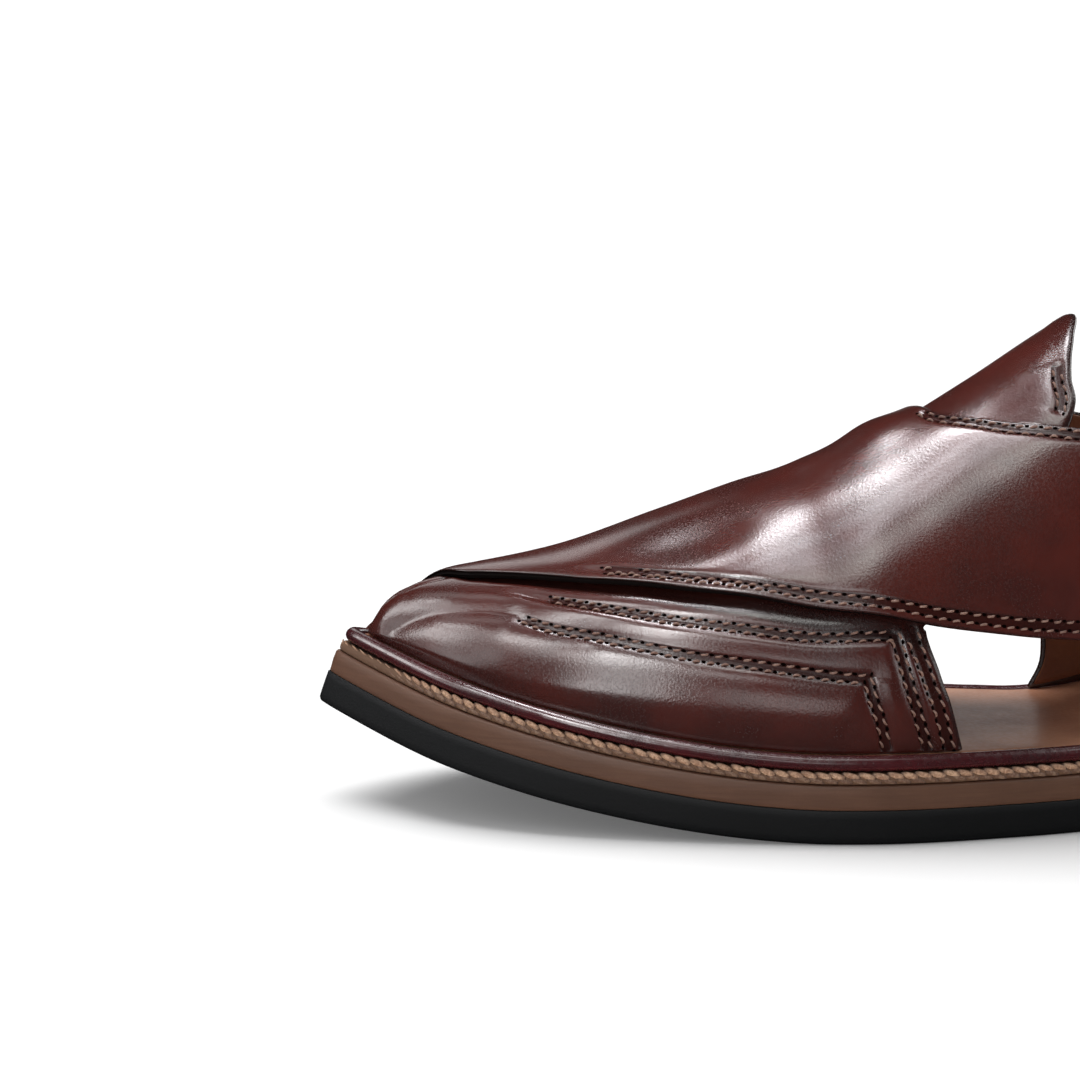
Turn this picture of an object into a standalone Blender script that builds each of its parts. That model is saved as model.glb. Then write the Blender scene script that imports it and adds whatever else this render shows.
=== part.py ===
"""Peshawari chappal, left shoe: crossed-strap leather sandal on a layered sole.

The toe points to -Y, the outer (lateral) side is +X and +Z is up.  A point of the shoe is first
placed in sole coordinates and then sprung onto the curved sole:
    x  to the outer side,
    s  along the shoe, from the tip of the toe,
    n  out of the underside of the outsole.
All sizes are in millimetres; `spring` turns them into Blender's metres.
"""
from collections import namedtuple
from math import cos, exp, pi, sin, sqrt

import bmesh
import bpy
from mathutils import Vector

MM = 0.001
WELD = 0.02               # millimetres within which points become one

# ---- driving dimensions, millimetres -------------------------------------------------------
LENGTH = 290.0            # outsole, toe tip to heel
TOE_LIFT = 21.5           # underside of the toe tip above the ground
TOE_RUN = 110.0           # where the toe spring has run out
TOE_CURVE = 1.76          # how late the spring rises
TOE_BLEND = 0.05          # share of the run over which the tilt of the sections dies away
HEEL_RISE = 8.0           # underside of the outsole above the ground at the heel
WAIST = (164.0, 214.0)    # where the outsole leaves the ground, where it is at full rise
TOE_ROUND = 30.0          # length over which the toe of an outline rounds off
HEEL_ROUND = 34.0         # the same at the heel

GAP = 0.3                 # between neighbouring pieces
OUTSOLE = 7.2             # thicknesses of the layers, from the ground up
MIDSOLE = 5.0
WELT = 1.9
PIPING = 3.2              # diameter of the rolled edge binding
INSOLE = 2.9
LEATHER = 2.0             # upper
BURIED = 0.8              # how deep the over strap sinks into the under strap where they are sewn

MIDSOLE_INSET = 0.3       # insets from the outsole's edge
WELT_INSET = 0.5
PIPING_INSET = 2.6        # centre line of the piping
INSOLE_INSET = 4.9
LAST_INSET = 7.2          # inner face of the upper at its foot
HEEL_INSET = 0.4          # heel lift
CREST_EASE = 15.0         # length behind the tip over which the last's crest swings sideways

MIDSOLE_BASE = OUTSOLE + GAP
WELT_BASE = MIDSOLE_BASE + MIDSOLE + GAP
BED = WELT_BASE + WELT + GAP              # what the insole and the piping rest on
LAST_FOOT = BED + PIPING + GAP            # foot of the upper

MIDDLE_Y = LENGTH / 2     # the world's origin, in the middle of the outsole's box
MIDDLE_X = 4.35

HEEL_BREAST = 216.0       # front face of the heel lift
BREAST_HOLLOW = 3.0       # how far that face is hollowed towards the heel

# Half-widths of the outsole on its outer and inner side, before the ends are rounded off.
Station = namedtuple("Station", "s outer inner")
OUTLINE = (
    Station(0, 8.5, 9.5),
    Station(12, 17.9, 17.7),
    Station(25, 27.0, 24.5),
    Station(45, 37.2, 32.0),
    Station(70, 44.5, 38.5),
    Station(95, 48.7, 41.5),
    Station(120, 50.2, 39.5),
    Station(150, 45.3, 33.0),
    Station(180, 37.5, 28.5),
    Station(210, 33.8, 28.5),
    Station(240, 33.5, 31.0),
    Station(265, 32.5, 31.0),
    Station(290, 26.0, 25.0),
)

# The last: height and sideways place of its crest, and how full its two flanks are
# (2 is a quarter of an ellipse, more is squarer).  Behind the instep the crest is only the
# top of the shaft that the strap legs lean on.
Rib = namedtuple("Rib", "s crest crest_x outer_full inner_full")
LAST = (
    Rib(LAST_INSET, LAST_FOOT, 0.0, 2.0, 2.0),
    Rib(10, 25.2, -0.3, 2.0, 2.0),
    Rib(14, 29.6, -0.5, 2.0, 2.0),
    Rib(20, 33.5, -0.8, 2.1, 2.1),
    Rib(27, 36.6, -1.2, 2.1, 2.1),
    Rib(45, 44.6, -2.2, 2.2, 2.2),
    Rib(70, 57.2, -3.5, 2.2, 2.2),
    Rib(90, 65.4, -4.8, 2.1, 2.1),
    Rib(110, 71.2, -6.0, 2.0, 2.0),
    Rib(120, 75.0, -6.3, 2.0, 2.0),
    Rib(132, 81.0, -6.6, 1.9, 1.9),
    Rib(150, 92.0, -7.0, 1.9, 1.9),
    Rib(172, 106.5, -6.4, 2.1, 2.1),
    Rib(195, 118.0, -5.2, 2.4, 2.4),
    Rib(220, 123.0, -4.0, 2.6, 2.6),
    Rib(LENGTH, 123.0, 0.0, 2.6, 2.6),
)
# Places where the outer flank of the last is fuller (or, below 0, hollower) than its ribs.
Swell = namedtuple("Swell", "s t reach_s reach_t rise")
LAST_SWELLS = (
    Swell(77, 0.33, 19, 0.15, -2.3),
    Swell(125, 0.12, 15, 0.09, 1.3),
    Swell(136, 0.39, 12, 0.20, 0.7),
)

# The straps are cut to patterns on the last.  A line of the pattern runs from the strap's front
# edge to its back edge; t is +1 at the outer foot of the last, 0 on its crest, -1 at the inner
# foot.  The under strap starts outside, wraps the tip of the toe and ends in the inner leg.
Line = namedtuple("Line", "front_s front_t back_s back_t")
UNDER_STRAP = (
    Line(LAST_INSET, 1.00, 137.0, 1.00),
    Line(LAST_INSET, 0.75, 134.5, 0.90),
    Line(LAST_INSET, 0.50, 132.2, 0.83),
    Line(LAST_INSET, 0.25, 129.7, 0.72),
    Line(LAST_INSET, -0.10, 134.0, 0.63),
    Line(LAST_INSET, -0.50, 143.0, 0.57),
    Line(LAST_INSET, -0.98, 150.0, 0.53),
    Line(20.0, -0.97, 157.0, 0.49),
    Line(34.0, -0.88, 163.5, 0.44),
    Line(50.0, -0.80, 166.8, 0.38),
    Line(67.0, -0.74, 167.1, 0.31),
    Line(84.0, -0.71, 168.3, 0.24),
    Line(101.0, -0.70, 170.3, 0.16),
    Line(117.0, -0.71, 172.8, 0.04),
    Line(131.0, -0.73, 170.6, -0.14),
    Line(143.0, -0.765, 168.8, -0.29),
    Line(154.0, -0.80, 171.0, -0.42),
    Line(163.0, -0.83, 181.0, -0.54),
    Line(169.0, -0.86, 197.0, -0.64),
    Line(172.6, -0.90, 212.0, -0.70),
    Line(173.3, -0.94, 222.5, -0.76),
    Line(172.8, -0.97, 222.0, -0.88),
    Line(170.4, -1.00, 217.5, -1.00),
)
# The over strap starts inside, crosses the toe and the instep and ends in the outer leg.
OVER_STRAP = (
    Line(12.0, -1.00, 137.0, -1.00),
    Line(13.0, -0.75, 134.5, -0.90),
    Line(14.5, -0.50, 132.2, -0.82),
    Line(17.0, -0.25, 130.0, -0.72),
    Line(20.0, -0.03, 131.5, -0.60),
    Line(23.0, 0.11, 133.5, -0.42),
    Line(29.0, 0.19, 135.5, -0.24),
    Line(37.0, 0.27, 137.3, -0.06),
    Line(46.0, 0.35, 139.4, 0.13),
    Line(54.4, 0.42, 143.0, 0.22),
    Line(72.0, 0.53, 152.0, 0.33),
    Line(92.0, 0.60, 161.0, 0.41),
    Line(112.0, 0.66, 170.0, 0.48),
    Line(129.0, 0.72, 183.0, 0.56),
    Line(144.0, 0.77, 196.0, 0.63),
    Line(156.0, 0.81, 208.0, 0.68),
    Line(165.0, 0.84, 218.0, 0.72),
    Line(171.5, 0.87, 223.0, 0.77),
    Line(173.3, 0.92, 222.3, 0.86),
    Line(172.8, 0.97, 220.0, 0.93),
    Line(170.4, 1.00, 217.5, 1.00),
)
STRAP_ROWS = 44           # facets across a strap's patterns
STRAP_COLUMNS = 18        # and along each line
TIP_CROWDING = 1.25       # lines are divided more finely towards the toe
FOOT_EASE = 0.25          # share t of the flank over which the over strap comes down to its foot
TIP_RUN = 22.0            # length s over which it leaves the inner foot of the toe

# The heel strap's centre line at mid-width, from its sewn inner end round the heel, through the
# buckle and along the outer leg; lean is how much its upper edge lies further in than its lower.
Way = namedtuple("Way", "s x n lean")
HEEL_STRAP = (
    Way(203.0, -25.4, 59.0, 2.4),
    Way(214.0, -25.3, 59.5, 2.4),
    Way(226.0, -25.6, 60.5, 2.0),
    Way(246.0, -26.2, 62.5, 1.2),
    Way(263.0, -22.6, 65.0, 0.8),
    Way(275.0, -12.6, 67.0, 0.6),
    Way(278.5, 0.0, 67.5, 0.6),
    Way(275.5, 13.0, 67.0, 0.6),
    Way(265.0, 23.4, 65.0, 0.8),
    Way(253.0, 27.4, 63.0, 1.0),
    Way(243.0, 28.3, 62.0, 1.2),
    Way(235.0, 31.3, 61.2, 1.6),
    Way(227.0, 34.5, 60.4, 1.8),
    Way(214.0, 34.6, 59.4, 2.2),
    Way(198.0, 33.3, 58.5, 2.4),
)
HEEL_STRAP_WIDTH = 18.0
HEEL_STRAP_LEATHER = 2.2
HEEL_STRAP_ROWS = 60
HEEL_STRAP_MIDDLE = 60.0  # world Y that its inner side faces, well inside the loop
TAIL_ROUND = 6.0          # how far the free tail tapers in to its round end
TAIL_SHARE = 0.8          # share of the way round after which the tail can begin
TAIL_TIP = 0.45           # share of its width left at the very tip

BUCKLE_S = (227.0, 243.6)       # bars of the buckle, along the shoe
BUCKLE_X = (30.9, 32.1)         # and across it, front bar and back bar
BUCKLE_N = 61.2                 # middle of its bars
BUCKLE_HALF_WIDTH = 12.2
BUCKLE_WIRE = 2.4
BUCKLE_CORNER = 3.0
PRONG_WIRE = 1.9
PRONG_SPAN = (0.14, 1.02)       # from just behind the front bar to just over the back bar
PRONG_PLAY = 0.4                # round the prong in its hole
TAB_S = (208.5, 224.6)          # leather tab that holds the buckle on the outer leg
TAB_X = 29.6                    # its inner face at mid-width
TAB_N = 60.2                    # its middle
TAB_LEAN = 0.12                 # how its face leans in towards the top
TAB_LEATHER = 1.1
TAB_WIDTH = 13.0
TAB_STEPS = 8
KEEPER_S = (211.0, 217.0)       # loop that holds down the strap's tail
KEEPER_WAY = 13                 # row of the heel strap's route that it sits on
KEEPER_LEATHER = 1.3
KEEPER_WALL = 1.0               # its leather in front of and behind the strap
KEEPER_PLAY = 0.6               # between it and the strap

LEATHER_BROWN = (0.055, 0.016, 0.012, 1.0)
PIPING_MAROON = (0.060, 0.012, 0.014, 1.0)
WELT_TAN = (0.36, 0.22, 0.13, 1.0)
MIDSOLE_BROWN = (0.115, 0.070, 0.052, 1.0)
RUBBER_BLACK = (0.014, 0.015, 0.016, 1.0)
INSOLE_BROWN = (0.21, 0.125, 0.090, 1.0)
BRASS = (0.62, 0.47, 0.26, 1.0)


# ---- curves and the sole's spring ----------------------------------------------------------
def through(rows, place, column):
    """Smooth value of a table's column at `place` of its first column."""
    keys = [row[0] for row in rows]
    place = min(max(place, keys[0]), keys[-1])
    index = max(i for i, key in enumerate(keys[:-1]) if key <= place)
    left, right = rows[index], rows[index + 1]
    before, after = rows[max(index - 1, 0)], rows[min(index + 2, len(rows) - 1)]

    def value(row):
        return getattr(row, column)

    def slope(first, middle, last):
        """Slope at the middle row of three, weighted towards the nearer neighbour."""
        ahead, behind = last[0] - middle[0], middle[0] - first[0]
        if ahead == 0.0:
            return (value(middle) - value(first)) / behind
        if behind == 0.0:
            return (value(last) - value(middle)) / ahead
        forward = (value(last) - value(middle)) / ahead
        backward = (value(middle) - value(first)) / behind
        return (ahead * backward + behind * forward) / (ahead + behind)

    span = right[0] - left[0]
    u = (place - left[0]) / span
    start = slope(before, left, right) * span
    end = slope(left, right, after) * span
    return ((2 * u**3 - 3 * u**2 + 1) * value(left) + (u**3 - 2 * u**2 + u) * start
            + (3 * u**2 - 2 * u**3) * value(right) + (u**3 - u**2) * end)


def ease(x):
    """0 to 1 with level ends."""
    x = min(max(x, 0.0), 1.0)
    return x * x * (3.0 - 2.0 * x)


def spring(x, s, n):
    """World point of sole coordinates: the toe curls up and the waist rises to the heel."""
    x -= MIDDLE_X
    left = 1.0 - s / TOE_RUN
    lift = TOE_LIFT * max(left, 0.0)**TOE_CURVE
    eased = (left + sqrt(left * left + TOE_BLEND**2)) / 2.0
    slope = TOE_LIFT * TOE_CURVE / TOE_RUN * eased**(TOE_CURVE - 1.0)
    upright = 1.0 / sqrt(1.0 + slope * slope)
    rise = HEEL_RISE * ease((s - WAIST[0]) / (WAIST[1] - WAIST[0]))
    y = s + n * slope * upright - MIDDLE_Y
    return Vector((x, y, lift + n * upright + rise)) * MM


def half_width(s, side, inset):
    """Half-width of the sole's outline, moved in by `inset`; side is 'outer' or 'inner'."""
    toe = min(max(1.0 - (s - inset) / TOE_ROUND, 0.0), 1.0)
    heel = min(max(1.0 - (LENGTH - inset - s) / HEEL_ROUND, 0.0), 1.0)
    return (through(OUTLINE, s, side) - inset) * sqrt(1.0 - toe * toe) * sqrt(1.0 - heel * heel)


def stations(inset, count, start=None):
    """Places along an outline, crowded towards its round ends."""
    first = inset if start is None else start
    last = LENGTH - inset
    if start is None:
        return [first + (last - first) * (1.0 - cos(pi * i / count)) / 2.0 for i in range(count + 1)]
    return [first + (last - first) * sin(pi / 2 * i / count) for i in range(count + 1)]


def last_point(s, t, lift):
    """Point on the last, `lift` off its surface."""
    step_s, step_t = 0.4, 0.01

    def surface(s, t):
        s = min(max(s, LAST_INSET), LENGTH - LAST_INSET)
        side, sign = ("outer", 1.0) if t > 0.0 else ("inner", -1.0)
        full = through(LAST, s, side + "_full")
        middle = through(LAST, s, "crest_x")
        angle = (1.0 - abs(t)) * pi / 2
        across = max(cos(angle), 0.0)**(2.0 / full)
        up = max(sin(angle), 0.0)**(2.0 / full)
        foot = sign * half_width(s, side, LAST_INSET)
        middle *= min((s - LAST_INSET) / CREST_EASE, 1.0)
        height = through(LAST, s, "crest") - LAST_FOOT
        rise = sum(w.rise * exp(-((s - w.s) / w.reach_s)**2 - ((t - w.t) / w.reach_t)**2)
                   for w in LAST_SWELLS)
        x = middle + (foot - middle) * across + sign * rise * cos(angle)
        return spring(x, s, LAST_FOOT + height * up + rise * sin(angle))

    point = surface(s, t)
    if lift == 0.0:
        return point
    tip = LAST_INSET + step_s / 8
    along = surface(s + step_s, t) - surface(max(s - step_s, tip), t)
    behind_tip = max(s, LAST_INSET + step_s)
    around = surface(behind_tip, min(t + step_t, 1.0)) - surface(behind_tip, max(t - step_t, -1.0))
    return point + around.cross(along).normalized() * lift * MM


# ---- objects and materials -----------------------------------------------------------------
def clear_scene():
    """Remove every object of the open file."""
    for thing in list(bpy.data.objects):
        bpy.data.objects.remove(thing, do_unlink=True)


def collection(name):
    """New collection in the scene."""
    group = bpy.data.collections.new(name)
    bpy.context.scene.collection.children.link(group)
    return group


def finish(name, colour, roughness, metallic=0.0):
    """Plain Principled material."""
    material = bpy.data.materials.new(name)
    material.use_nodes = True
    shader = material.node_tree.nodes["Principled BSDF"]
    shader.inputs["Base Color"].default_value = colour
    shader.inputs["Roughness"].default_value = roughness
    shader.inputs["Metallic"].default_value = metallic
    return material


def add_object(name, data, group, material=None):
    """Object in a collection, with its material."""
    thing = bpy.data.objects.new(name, data)
    group.objects.link(thing)
    if material is not None:
        data.materials.append(material)
    return thing


def mesh_from(name, fill):
    """Mesh whose faces `fill` adds to a bmesh, welded and facing out."""
    cage = bmesh.new()
    fill(cage)
    bmesh.ops.remove_doubles(cage, verts=cage.verts, dist=WELD * MM)
    bmesh.ops.recalc_face_normals(cage, faces=cage.faces)
    mesh = bpy.data.meshes.new(name)
    cage.to_mesh(mesh)
    cage.free()
    return mesh


def bridge(cage, rows, closed=False):
    """Quads between neighbouring rows of vertices; closed rows join up with themselves."""
    for row, following in zip(rows, rows[1:]):
        count = len(row)
        for i in range(count if closed else count - 1):
            j = (i + 1) % count
            corners = [row[i], row[j], following[j], following[i]]
            corners = [v for k, v in enumerate(corners) if (v.co - corners[k - 1].co).length > 1e-7]
            if len(corners) > 2:
                cage.faces.new(corners)


def apply_modifiers(thing):
    """Replace an object's mesh by its evaluated shape."""
    graph = bpy.context.evaluated_depsgraph_get()
    shaped = bpy.data.meshes.new_from_object(thing.evaluated_get(graph))
    thing.modifiers.clear()
    thing.data = shaped
    return thing


def smooth_round(thing, degrees=40.0):
    """Smooth shading with sharp edges kept."""
    thing.data.shade_smooth()
    thing.data.set_sharp_from_angle(angle=degrees * pi / 180.0)


# ---- sole ----------------------------------------------------------------------------------
def plate(name, inset, base, thickness, group, material, rows=40):
    """One layer of the sole: the outline between two heights, sprung."""
    def fill(cage):
        sections = []
        for s in stations(inset, rows):
            outer, inner = half_width(s, "outer", inset), -half_width(s, "inner", inset)
            corners = ((outer, base), (outer, base + thickness), (inner, base + thickness), (inner, base))
            sections.append([cage.verts.new(spring(x, s, n)) for x, n in corners])
        bridge(cage, sections, closed=True)

    thing = add_object(name, mesh_from(name, fill), group, material)
    smooth_round(thing)
    return thing


def heel_lift(group, material):
    """Rubber block under the heel, its front face hollowed."""
    inset = HEEL_INSET
    top = HEEL_RISE - GAP

    def fill(cage):
        rows = []
        steps, round_steps = 10, 16
        for level in (0.0, top):
            # the breast from side to side, then round the heel and back
            loop = []
            for i in range(steps + 1):
                across = 1.0 - 2.0 * i / steps
                s = HEEL_BREAST + BREAST_HOLLOW * (1.0 - across * across)
                side = "outer" if across > 0.0 else "inner"
                loop.append((across * half_width(HEEL_BREAST, side, inset), s))
            behind = stations(inset, round_steps, HEEL_BREAST)[1:]
            loop += [(-half_width(s, "inner", inset), s) for s in behind]
            loop += [(half_width(s, "outer", inset), s) for s in reversed(behind[:-1])]
            rows.append([cage.verts.new(Vector((x - MIDDLE_X, s - MIDDLE_Y, level)) * MM) for x, s in loop])
        bridge(cage, rows, closed=True)
        cage.faces.new(rows[0])
        cage.faces.new(rows[1])

    thing = add_object("heel", mesh_from("heel", fill), group, material)
    smooth_round(thing)
    return thing


def piping(group, material, points=44):
    """Rolled leather binding round the insole, a closed tube."""
    curve = bpy.data.curves.new("piping", "CURVE")
    curve.dimensions = "3D"
    curve.bevel_depth = PIPING / 2 * MM
    curve.bevel_resolution = 2
    spline = curve.splines.new("POLY")
    places = stations(PIPING_INSET, points)
    centre = BED + PIPING / 2
    route = [spring(half_width(s, "outer", PIPING_INSET), s, centre) for s in places]
    route += [spring(-half_width(s, "inner", PIPING_INSET), s, centre) for s in places[-2:0:-1]]
    spline.points.add(len(route) - 1)
    for point, place in zip(spline.points, route):
        point.co = (*place, 1.0)
    spline.use_cyclic_u = True
    return add_object("piping", curve, group, material)


# ---- upper ---------------------------------------------------------------------------------
def strap_patch(name, pattern, lift, group):
    """Open surface of one strap: its pattern laid on the last, `lift(s, t)` off it."""
    keyed = [(index, *line) for index, line in enumerate(pattern)]
    Key = namedtuple("Key", ("key",) + Line._fields)
    keyed = [Key(*row) for row in keyed]

    def fill(cage):
        rows = []
        for i in range(STRAP_ROWS + 1):
            place = (len(pattern) - 1) * i / STRAP_ROWS
            line = Line(*(through(keyed, place, column) for column in Line._fields))
            row = []
            for j in range(STRAP_COLUMNS + 1):
                share = (j / STRAP_COLUMNS)**TIP_CROWDING
                s = line.front_s + (line.back_s - line.front_s) * share
                t = line.front_t + (line.back_t - line.front_t) * share
                t = min(max(t, -1.0), 1.0)
                row.append(cage.verts.new(last_point(s, t, lift(s, t))))
            rows.append(row)
        bridge(cage, rows)

    thing = add_object(name, mesh_from(name, fill), group)
    return thing


def thicken(thing, thickness):
    """Give an open surface its leather, on the side away from the foot."""
    shell = thing.modifiers.new("leather", "SOLIDIFY")
    shell.thickness = thickness * MM
    shell.offset = 1.0
    shell.use_rim = True
    return apply_modifiers(thing)


def over_lift(s, t):
    """How far the over strap's inner face is off the last."""
    clear = LEATHER - BURIED
    along_foot = ease((1.0 - abs(t)) / FOOT_EASE)
    if t < 0.0:
        return clear * max(along_foot, 1.0 - ease((s - TIP_RUN) / TIP_RUN))
    return clear * along_foot


def upper(group, guides, material):
    """Both straps and their legs, one solid, joined where they cross."""
    under = thicken(strap_patch("upper", UNDER_STRAP, lambda s, t: 0.0, group), LEATHER)
    under.data.materials.clear()
    under.data.materials.append(material)
    over = thicken(strap_patch("over_strap_form", OVER_STRAP, over_lift, guides), LEATHER)
    over.hide_render = True
    over.display_type = "WIRE"
    join = under.modifiers.new("crossing", "BOOLEAN")
    join.operation = "UNION"
    join.solver = "EXACT"
    join.object = over
    smooth_round(under)
    return under


# ---- heel strap and its buckle -------------------------------------------------------------
def route_at(share):
    """Point of the heel strap's centre line and its lean, share 0 to 1 along the table."""
    Key = namedtuple("Key", ("key",) + Way._fields)
    keyed = [Key(i, *way) for i, way in enumerate(HEEL_STRAP)]
    place = share * (len(HEEL_STRAP) - 1)
    return Way(*(through(keyed, place, column) for column in Way._fields))


def heel_strap(group, guides, material, prong_line):
    """Leather band round the heel, with the hole that the prong stands in."""
    def fill(cage):
        bands = []
        step = 0.25 / HEEL_STRAP_ROWS
        for i in range(HEEL_STRAP_ROWS + 1):
            share = i / HEEL_STRAP_ROWS
            way = route_at(share)
            here = spring(way.x, way.s, way.n)
            ahead = route_at(min(share + step, 1.0))
            behind = route_at(max(share - step, 0.0))
            run = spring(ahead.x, ahead.s, way.n) - spring(behind.x, behind.s, way.n)
            outward = Vector((run.y, -run.x, 0.0)).normalized()
            if outward.dot(Vector((here.x, here.y - HEEL_STRAP_MIDDLE * MM, 0.0))) < 0.0:
                outward = -outward
            to_end = (spring(HEEL_STRAP[-1].x, HEEL_STRAP[-1].s, way.n) - here).length / MM
            taper = 1.0
            if share > TAIL_SHARE and to_end < TAIL_ROUND:
                taper = TAIL_TIP + (1.0 - TAIL_TIP) * sqrt(1.0 - (1.0 - to_end / TAIL_ROUND)**2)
            band = []
            for up in (-1.0, 1.0):
                edge = here + Vector((0.0, 0.0, up * taper * HEEL_STRAP_WIDTH / 2 * MM))
                edge -= outward * (up * taper * way.lean / 2 * MM)
                for out in (-up, up):
                    band.append(edge - outward * (out * HEEL_STRAP_LEATHER / 2 * MM))
            bands.append([cage.verts.new(point) for point in band])
        bridge(cage, bands, closed=True)
        cage.faces.new(bands[0])
        cage.faces.new(bands[-1])

    thing = add_object("heel_strap", mesh_from("heel_strap", fill), group, material)
    hole = rod("prong_hole", prong_line[0], prong_line[1], PRONG_WIRE / 2 + PRONG_PLAY, guides)
    hole.hide_render = True
    hole.display_type = "WIRE"
    cut = thing.modifiers.new("prong hole", "BOOLEAN")
    cut.operation = "DIFFERENCE"
    cut.solver = "EXACT"
    cut.object = hole
    smooth_round(thing)
    return thing


def rod(name, start, end, radius, group, material=None, sides=12):
    """Straight round rod between two points, radius in millimetres."""
    cage = bmesh.new()
    bmesh.ops.create_cone(cage, cap_ends=True, segments=sides, radius1=radius * MM,
                          radius2=radius * MM, depth=(end - start).length)
    mesh = bpy.data.meshes.new(name)
    cage.to_mesh(mesh)
    cage.free()
    thing = add_object(name, mesh, group, material)
    thing.location = (start + end) / 2
    thing.rotation_euler = (end - start).to_track_quat("Z", "Y").to_euler()
    smooth_round(thing)
    return thing


def buckle_point(along, up):
    """Point in the buckle's plane: along 0 at its front bar, 1 at its back bar."""
    x = BUCKLE_X[0] + (BUCKLE_X[1] - BUCKLE_X[0]) * along
    s = BUCKLE_S[0] + (BUCKLE_S[1] - BUCKLE_S[0]) * along
    return spring(x, s, BUCKLE_N + up)


def buckle_frame(group, material):
    """Rectangular wire frame with round corners."""
    curve = bpy.data.curves.new("buckle_frame", "CURVE")
    curve.dimensions = "3D"
    curve.bevel_depth = BUCKLE_WIRE / 2 * MM
    curve.bevel_resolution = 2
    spline = curve.splines.new("POLY")
    length = BUCKLE_S[1] - BUCKLE_S[0]
    steps = 4
    route = []
    corners = ((1, 1, 0), (0, 1, 1), (0, -1, 2), (1, -1, 3))
    for along, up, quarter in corners:
        for i in range(steps + 1):
            angle = (quarter + i / steps) * pi / 2
            middle_s = length * along + (BUCKLE_CORNER if along == 0 else -BUCKLE_CORNER)
            middle_up = up * (BUCKLE_HALF_WIDTH - BUCKLE_CORNER)
            share = (middle_s + BUCKLE_CORNER * cos(angle)) / length
            route.append(buckle_point(share, middle_up + BUCKLE_CORNER * sin(angle)))
    spline.points.add(len(route) - 1)
    for point, place in zip(spline.points, route):
        point.co = (*place, 1.0)
    spline.use_cyclic_u = True
    return add_object("buckle_frame", curve, group, material)


def prong_ends():
    """Ends of the prong: behind the front bar, and resting outside the back bar."""
    start = buckle_point(PRONG_SPAN[0], 0.0)
    reach = (BUCKLE_WIRE + PRONG_WIRE) / 2 + GAP
    end = buckle_point(PRONG_SPAN[1], 0.0) + Vector((reach * MM, 0.0, 0.0))
    return start, end


def leather_tab(group, material):
    """Folded tab on the outer leg; its end reaches the buckle's front bar."""
    start, end = TAB_S
    half = TAB_WIDTH / 2

    def face(s, up, lift):
        return spring(TAB_X + lift - TAB_LEAN * up, s, TAB_N + up)

    def fill(cage):
        rows = []
        for i in range(TAB_STEPS + 1):
            s = start + (end - start) * i / TAB_STEPS
            corners = ((-half, 0.0), (half, 0.0), (half, TAB_LEATHER), (-half, TAB_LEATHER))
            rows.append([cage.verts.new(face(s, up, lift)) for up, lift in corners])
        bridge(cage, rows, closed=True)
        cage.faces.new(rows[0])
        cage.faces.new(rows[-1])

    thing = add_object("buckle_tab", mesh_from("buckle_tab", fill), group, material)
    smooth_round(thing)
    return thing


def keeper(group, material):
    """Leather loop round the strap's tail, standing on the tab's outer side."""
    front, back = KEEPER_S
    inner_half = HEEL_STRAP_WIDTH / 2 + GAP + KEEPER_PLAY
    outer_half = inner_half + KEEPER_LEATHER
    inner_wall = HEEL_STRAP_LEATHER / 2 + KEEPER_PLAY
    outer_wall = inner_wall + KEEPER_WALL
    way = route_at(KEEPER_WAY / (len(HEEL_STRAP) - 1))

    def ring(s, half, wall):
        """Rectangular ring of points round the strap at one place along it."""
        lean = way.lean / HEEL_STRAP_WIDTH
        corners = ((-half, -wall), (-half, wall), (half, wall), (half, -wall))
        return [spring(way.x + out - lean * up, s, way.n + up) for up, out in corners]

    def fill(cage):
        rows = []
        for s, half, wall in ((front, outer_half, outer_wall), (back, outer_half, outer_wall),
                              (back, inner_half, inner_wall), (front, inner_half, inner_wall)):
            rows.append([cage.verts.new(point) for point in ring(s, half, wall)])
        rows.append(rows[0])
        bridge(cage, rows, closed=True)

    thing = add_object("keeper", mesh_from("keeper", fill), group, material)
    smooth_round(thing)
    return thing


def build():
    """The whole shoe."""
    clear_scene()
    shoe = collection("peshawari_chappal")
    guides = collection("cutters")
    leather = finish("upper_leather", LEATHER_BROWN, 0.32)
    rubber = finish("outsole_rubber", RUBBER_BLACK, 0.75)
    plate("outsole", 0.0, 0.0, OUTSOLE, shoe, rubber)
    heel_lift(shoe, finish("heel_rubber", RUBBER_BLACK, 0.75))
    plate("midsole", MIDSOLE_INSET, MIDSOLE_BASE, MIDSOLE, shoe,
          finish("midsole_leather", MIDSOLE_BROWN, 0.6))
    plate("welt", WELT_INSET, WELT_BASE, WELT, shoe, finish("welt_thread", WELT_TAN, 0.8))
    piping(shoe, finish("piping_leather", PIPING_MAROON, 0.22))
    plate("insole", INSOLE_INSET, BED, INSOLE, shoe, finish("insole_leather", INSOLE_BROWN, 0.4))
    upper(shoe, guides, leather)
    prong_line = prong_ends()
    brass = finish("buckle_brass", BRASS, 0.3, 1.0)
    heel_strap(shoe, guides, finish("strap_leather", LEATHER_BROWN, 0.32), prong_line)
    buckle_frame(shoe, brass)
    rod("buckle_prong", *prong_line, PRONG_WIRE / 2, shoe, finish("prong_brass", BRASS, 0.3, 1.0))
    leather_tab(shoe, finish("tab_leather", LEATHER_BROWN, 0.32))
    keeper(shoe, finish("keeper_leather", LEATHER_BROWN, 0.32))


build()
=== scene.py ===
"""Looks of a peshawari chappal: crossed-strap leather upper on a layered, overcast sole.

Points are worked out in millimetres and become metres when a mesh is made.  A point of the shoe is
first placed in sole coordinates: x to the outer side, s along the shoe from the tip of the toe and
n out of the underside of the outsole; `Sole.spring` then bends it onto the curved sole.  The last,
which the upper is drawn over, is addressed by (s, t), with t = +1 at its outer foot, 0 on its
crest and -1 at its inner foot.
"""
from __future__ import annotations

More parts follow.
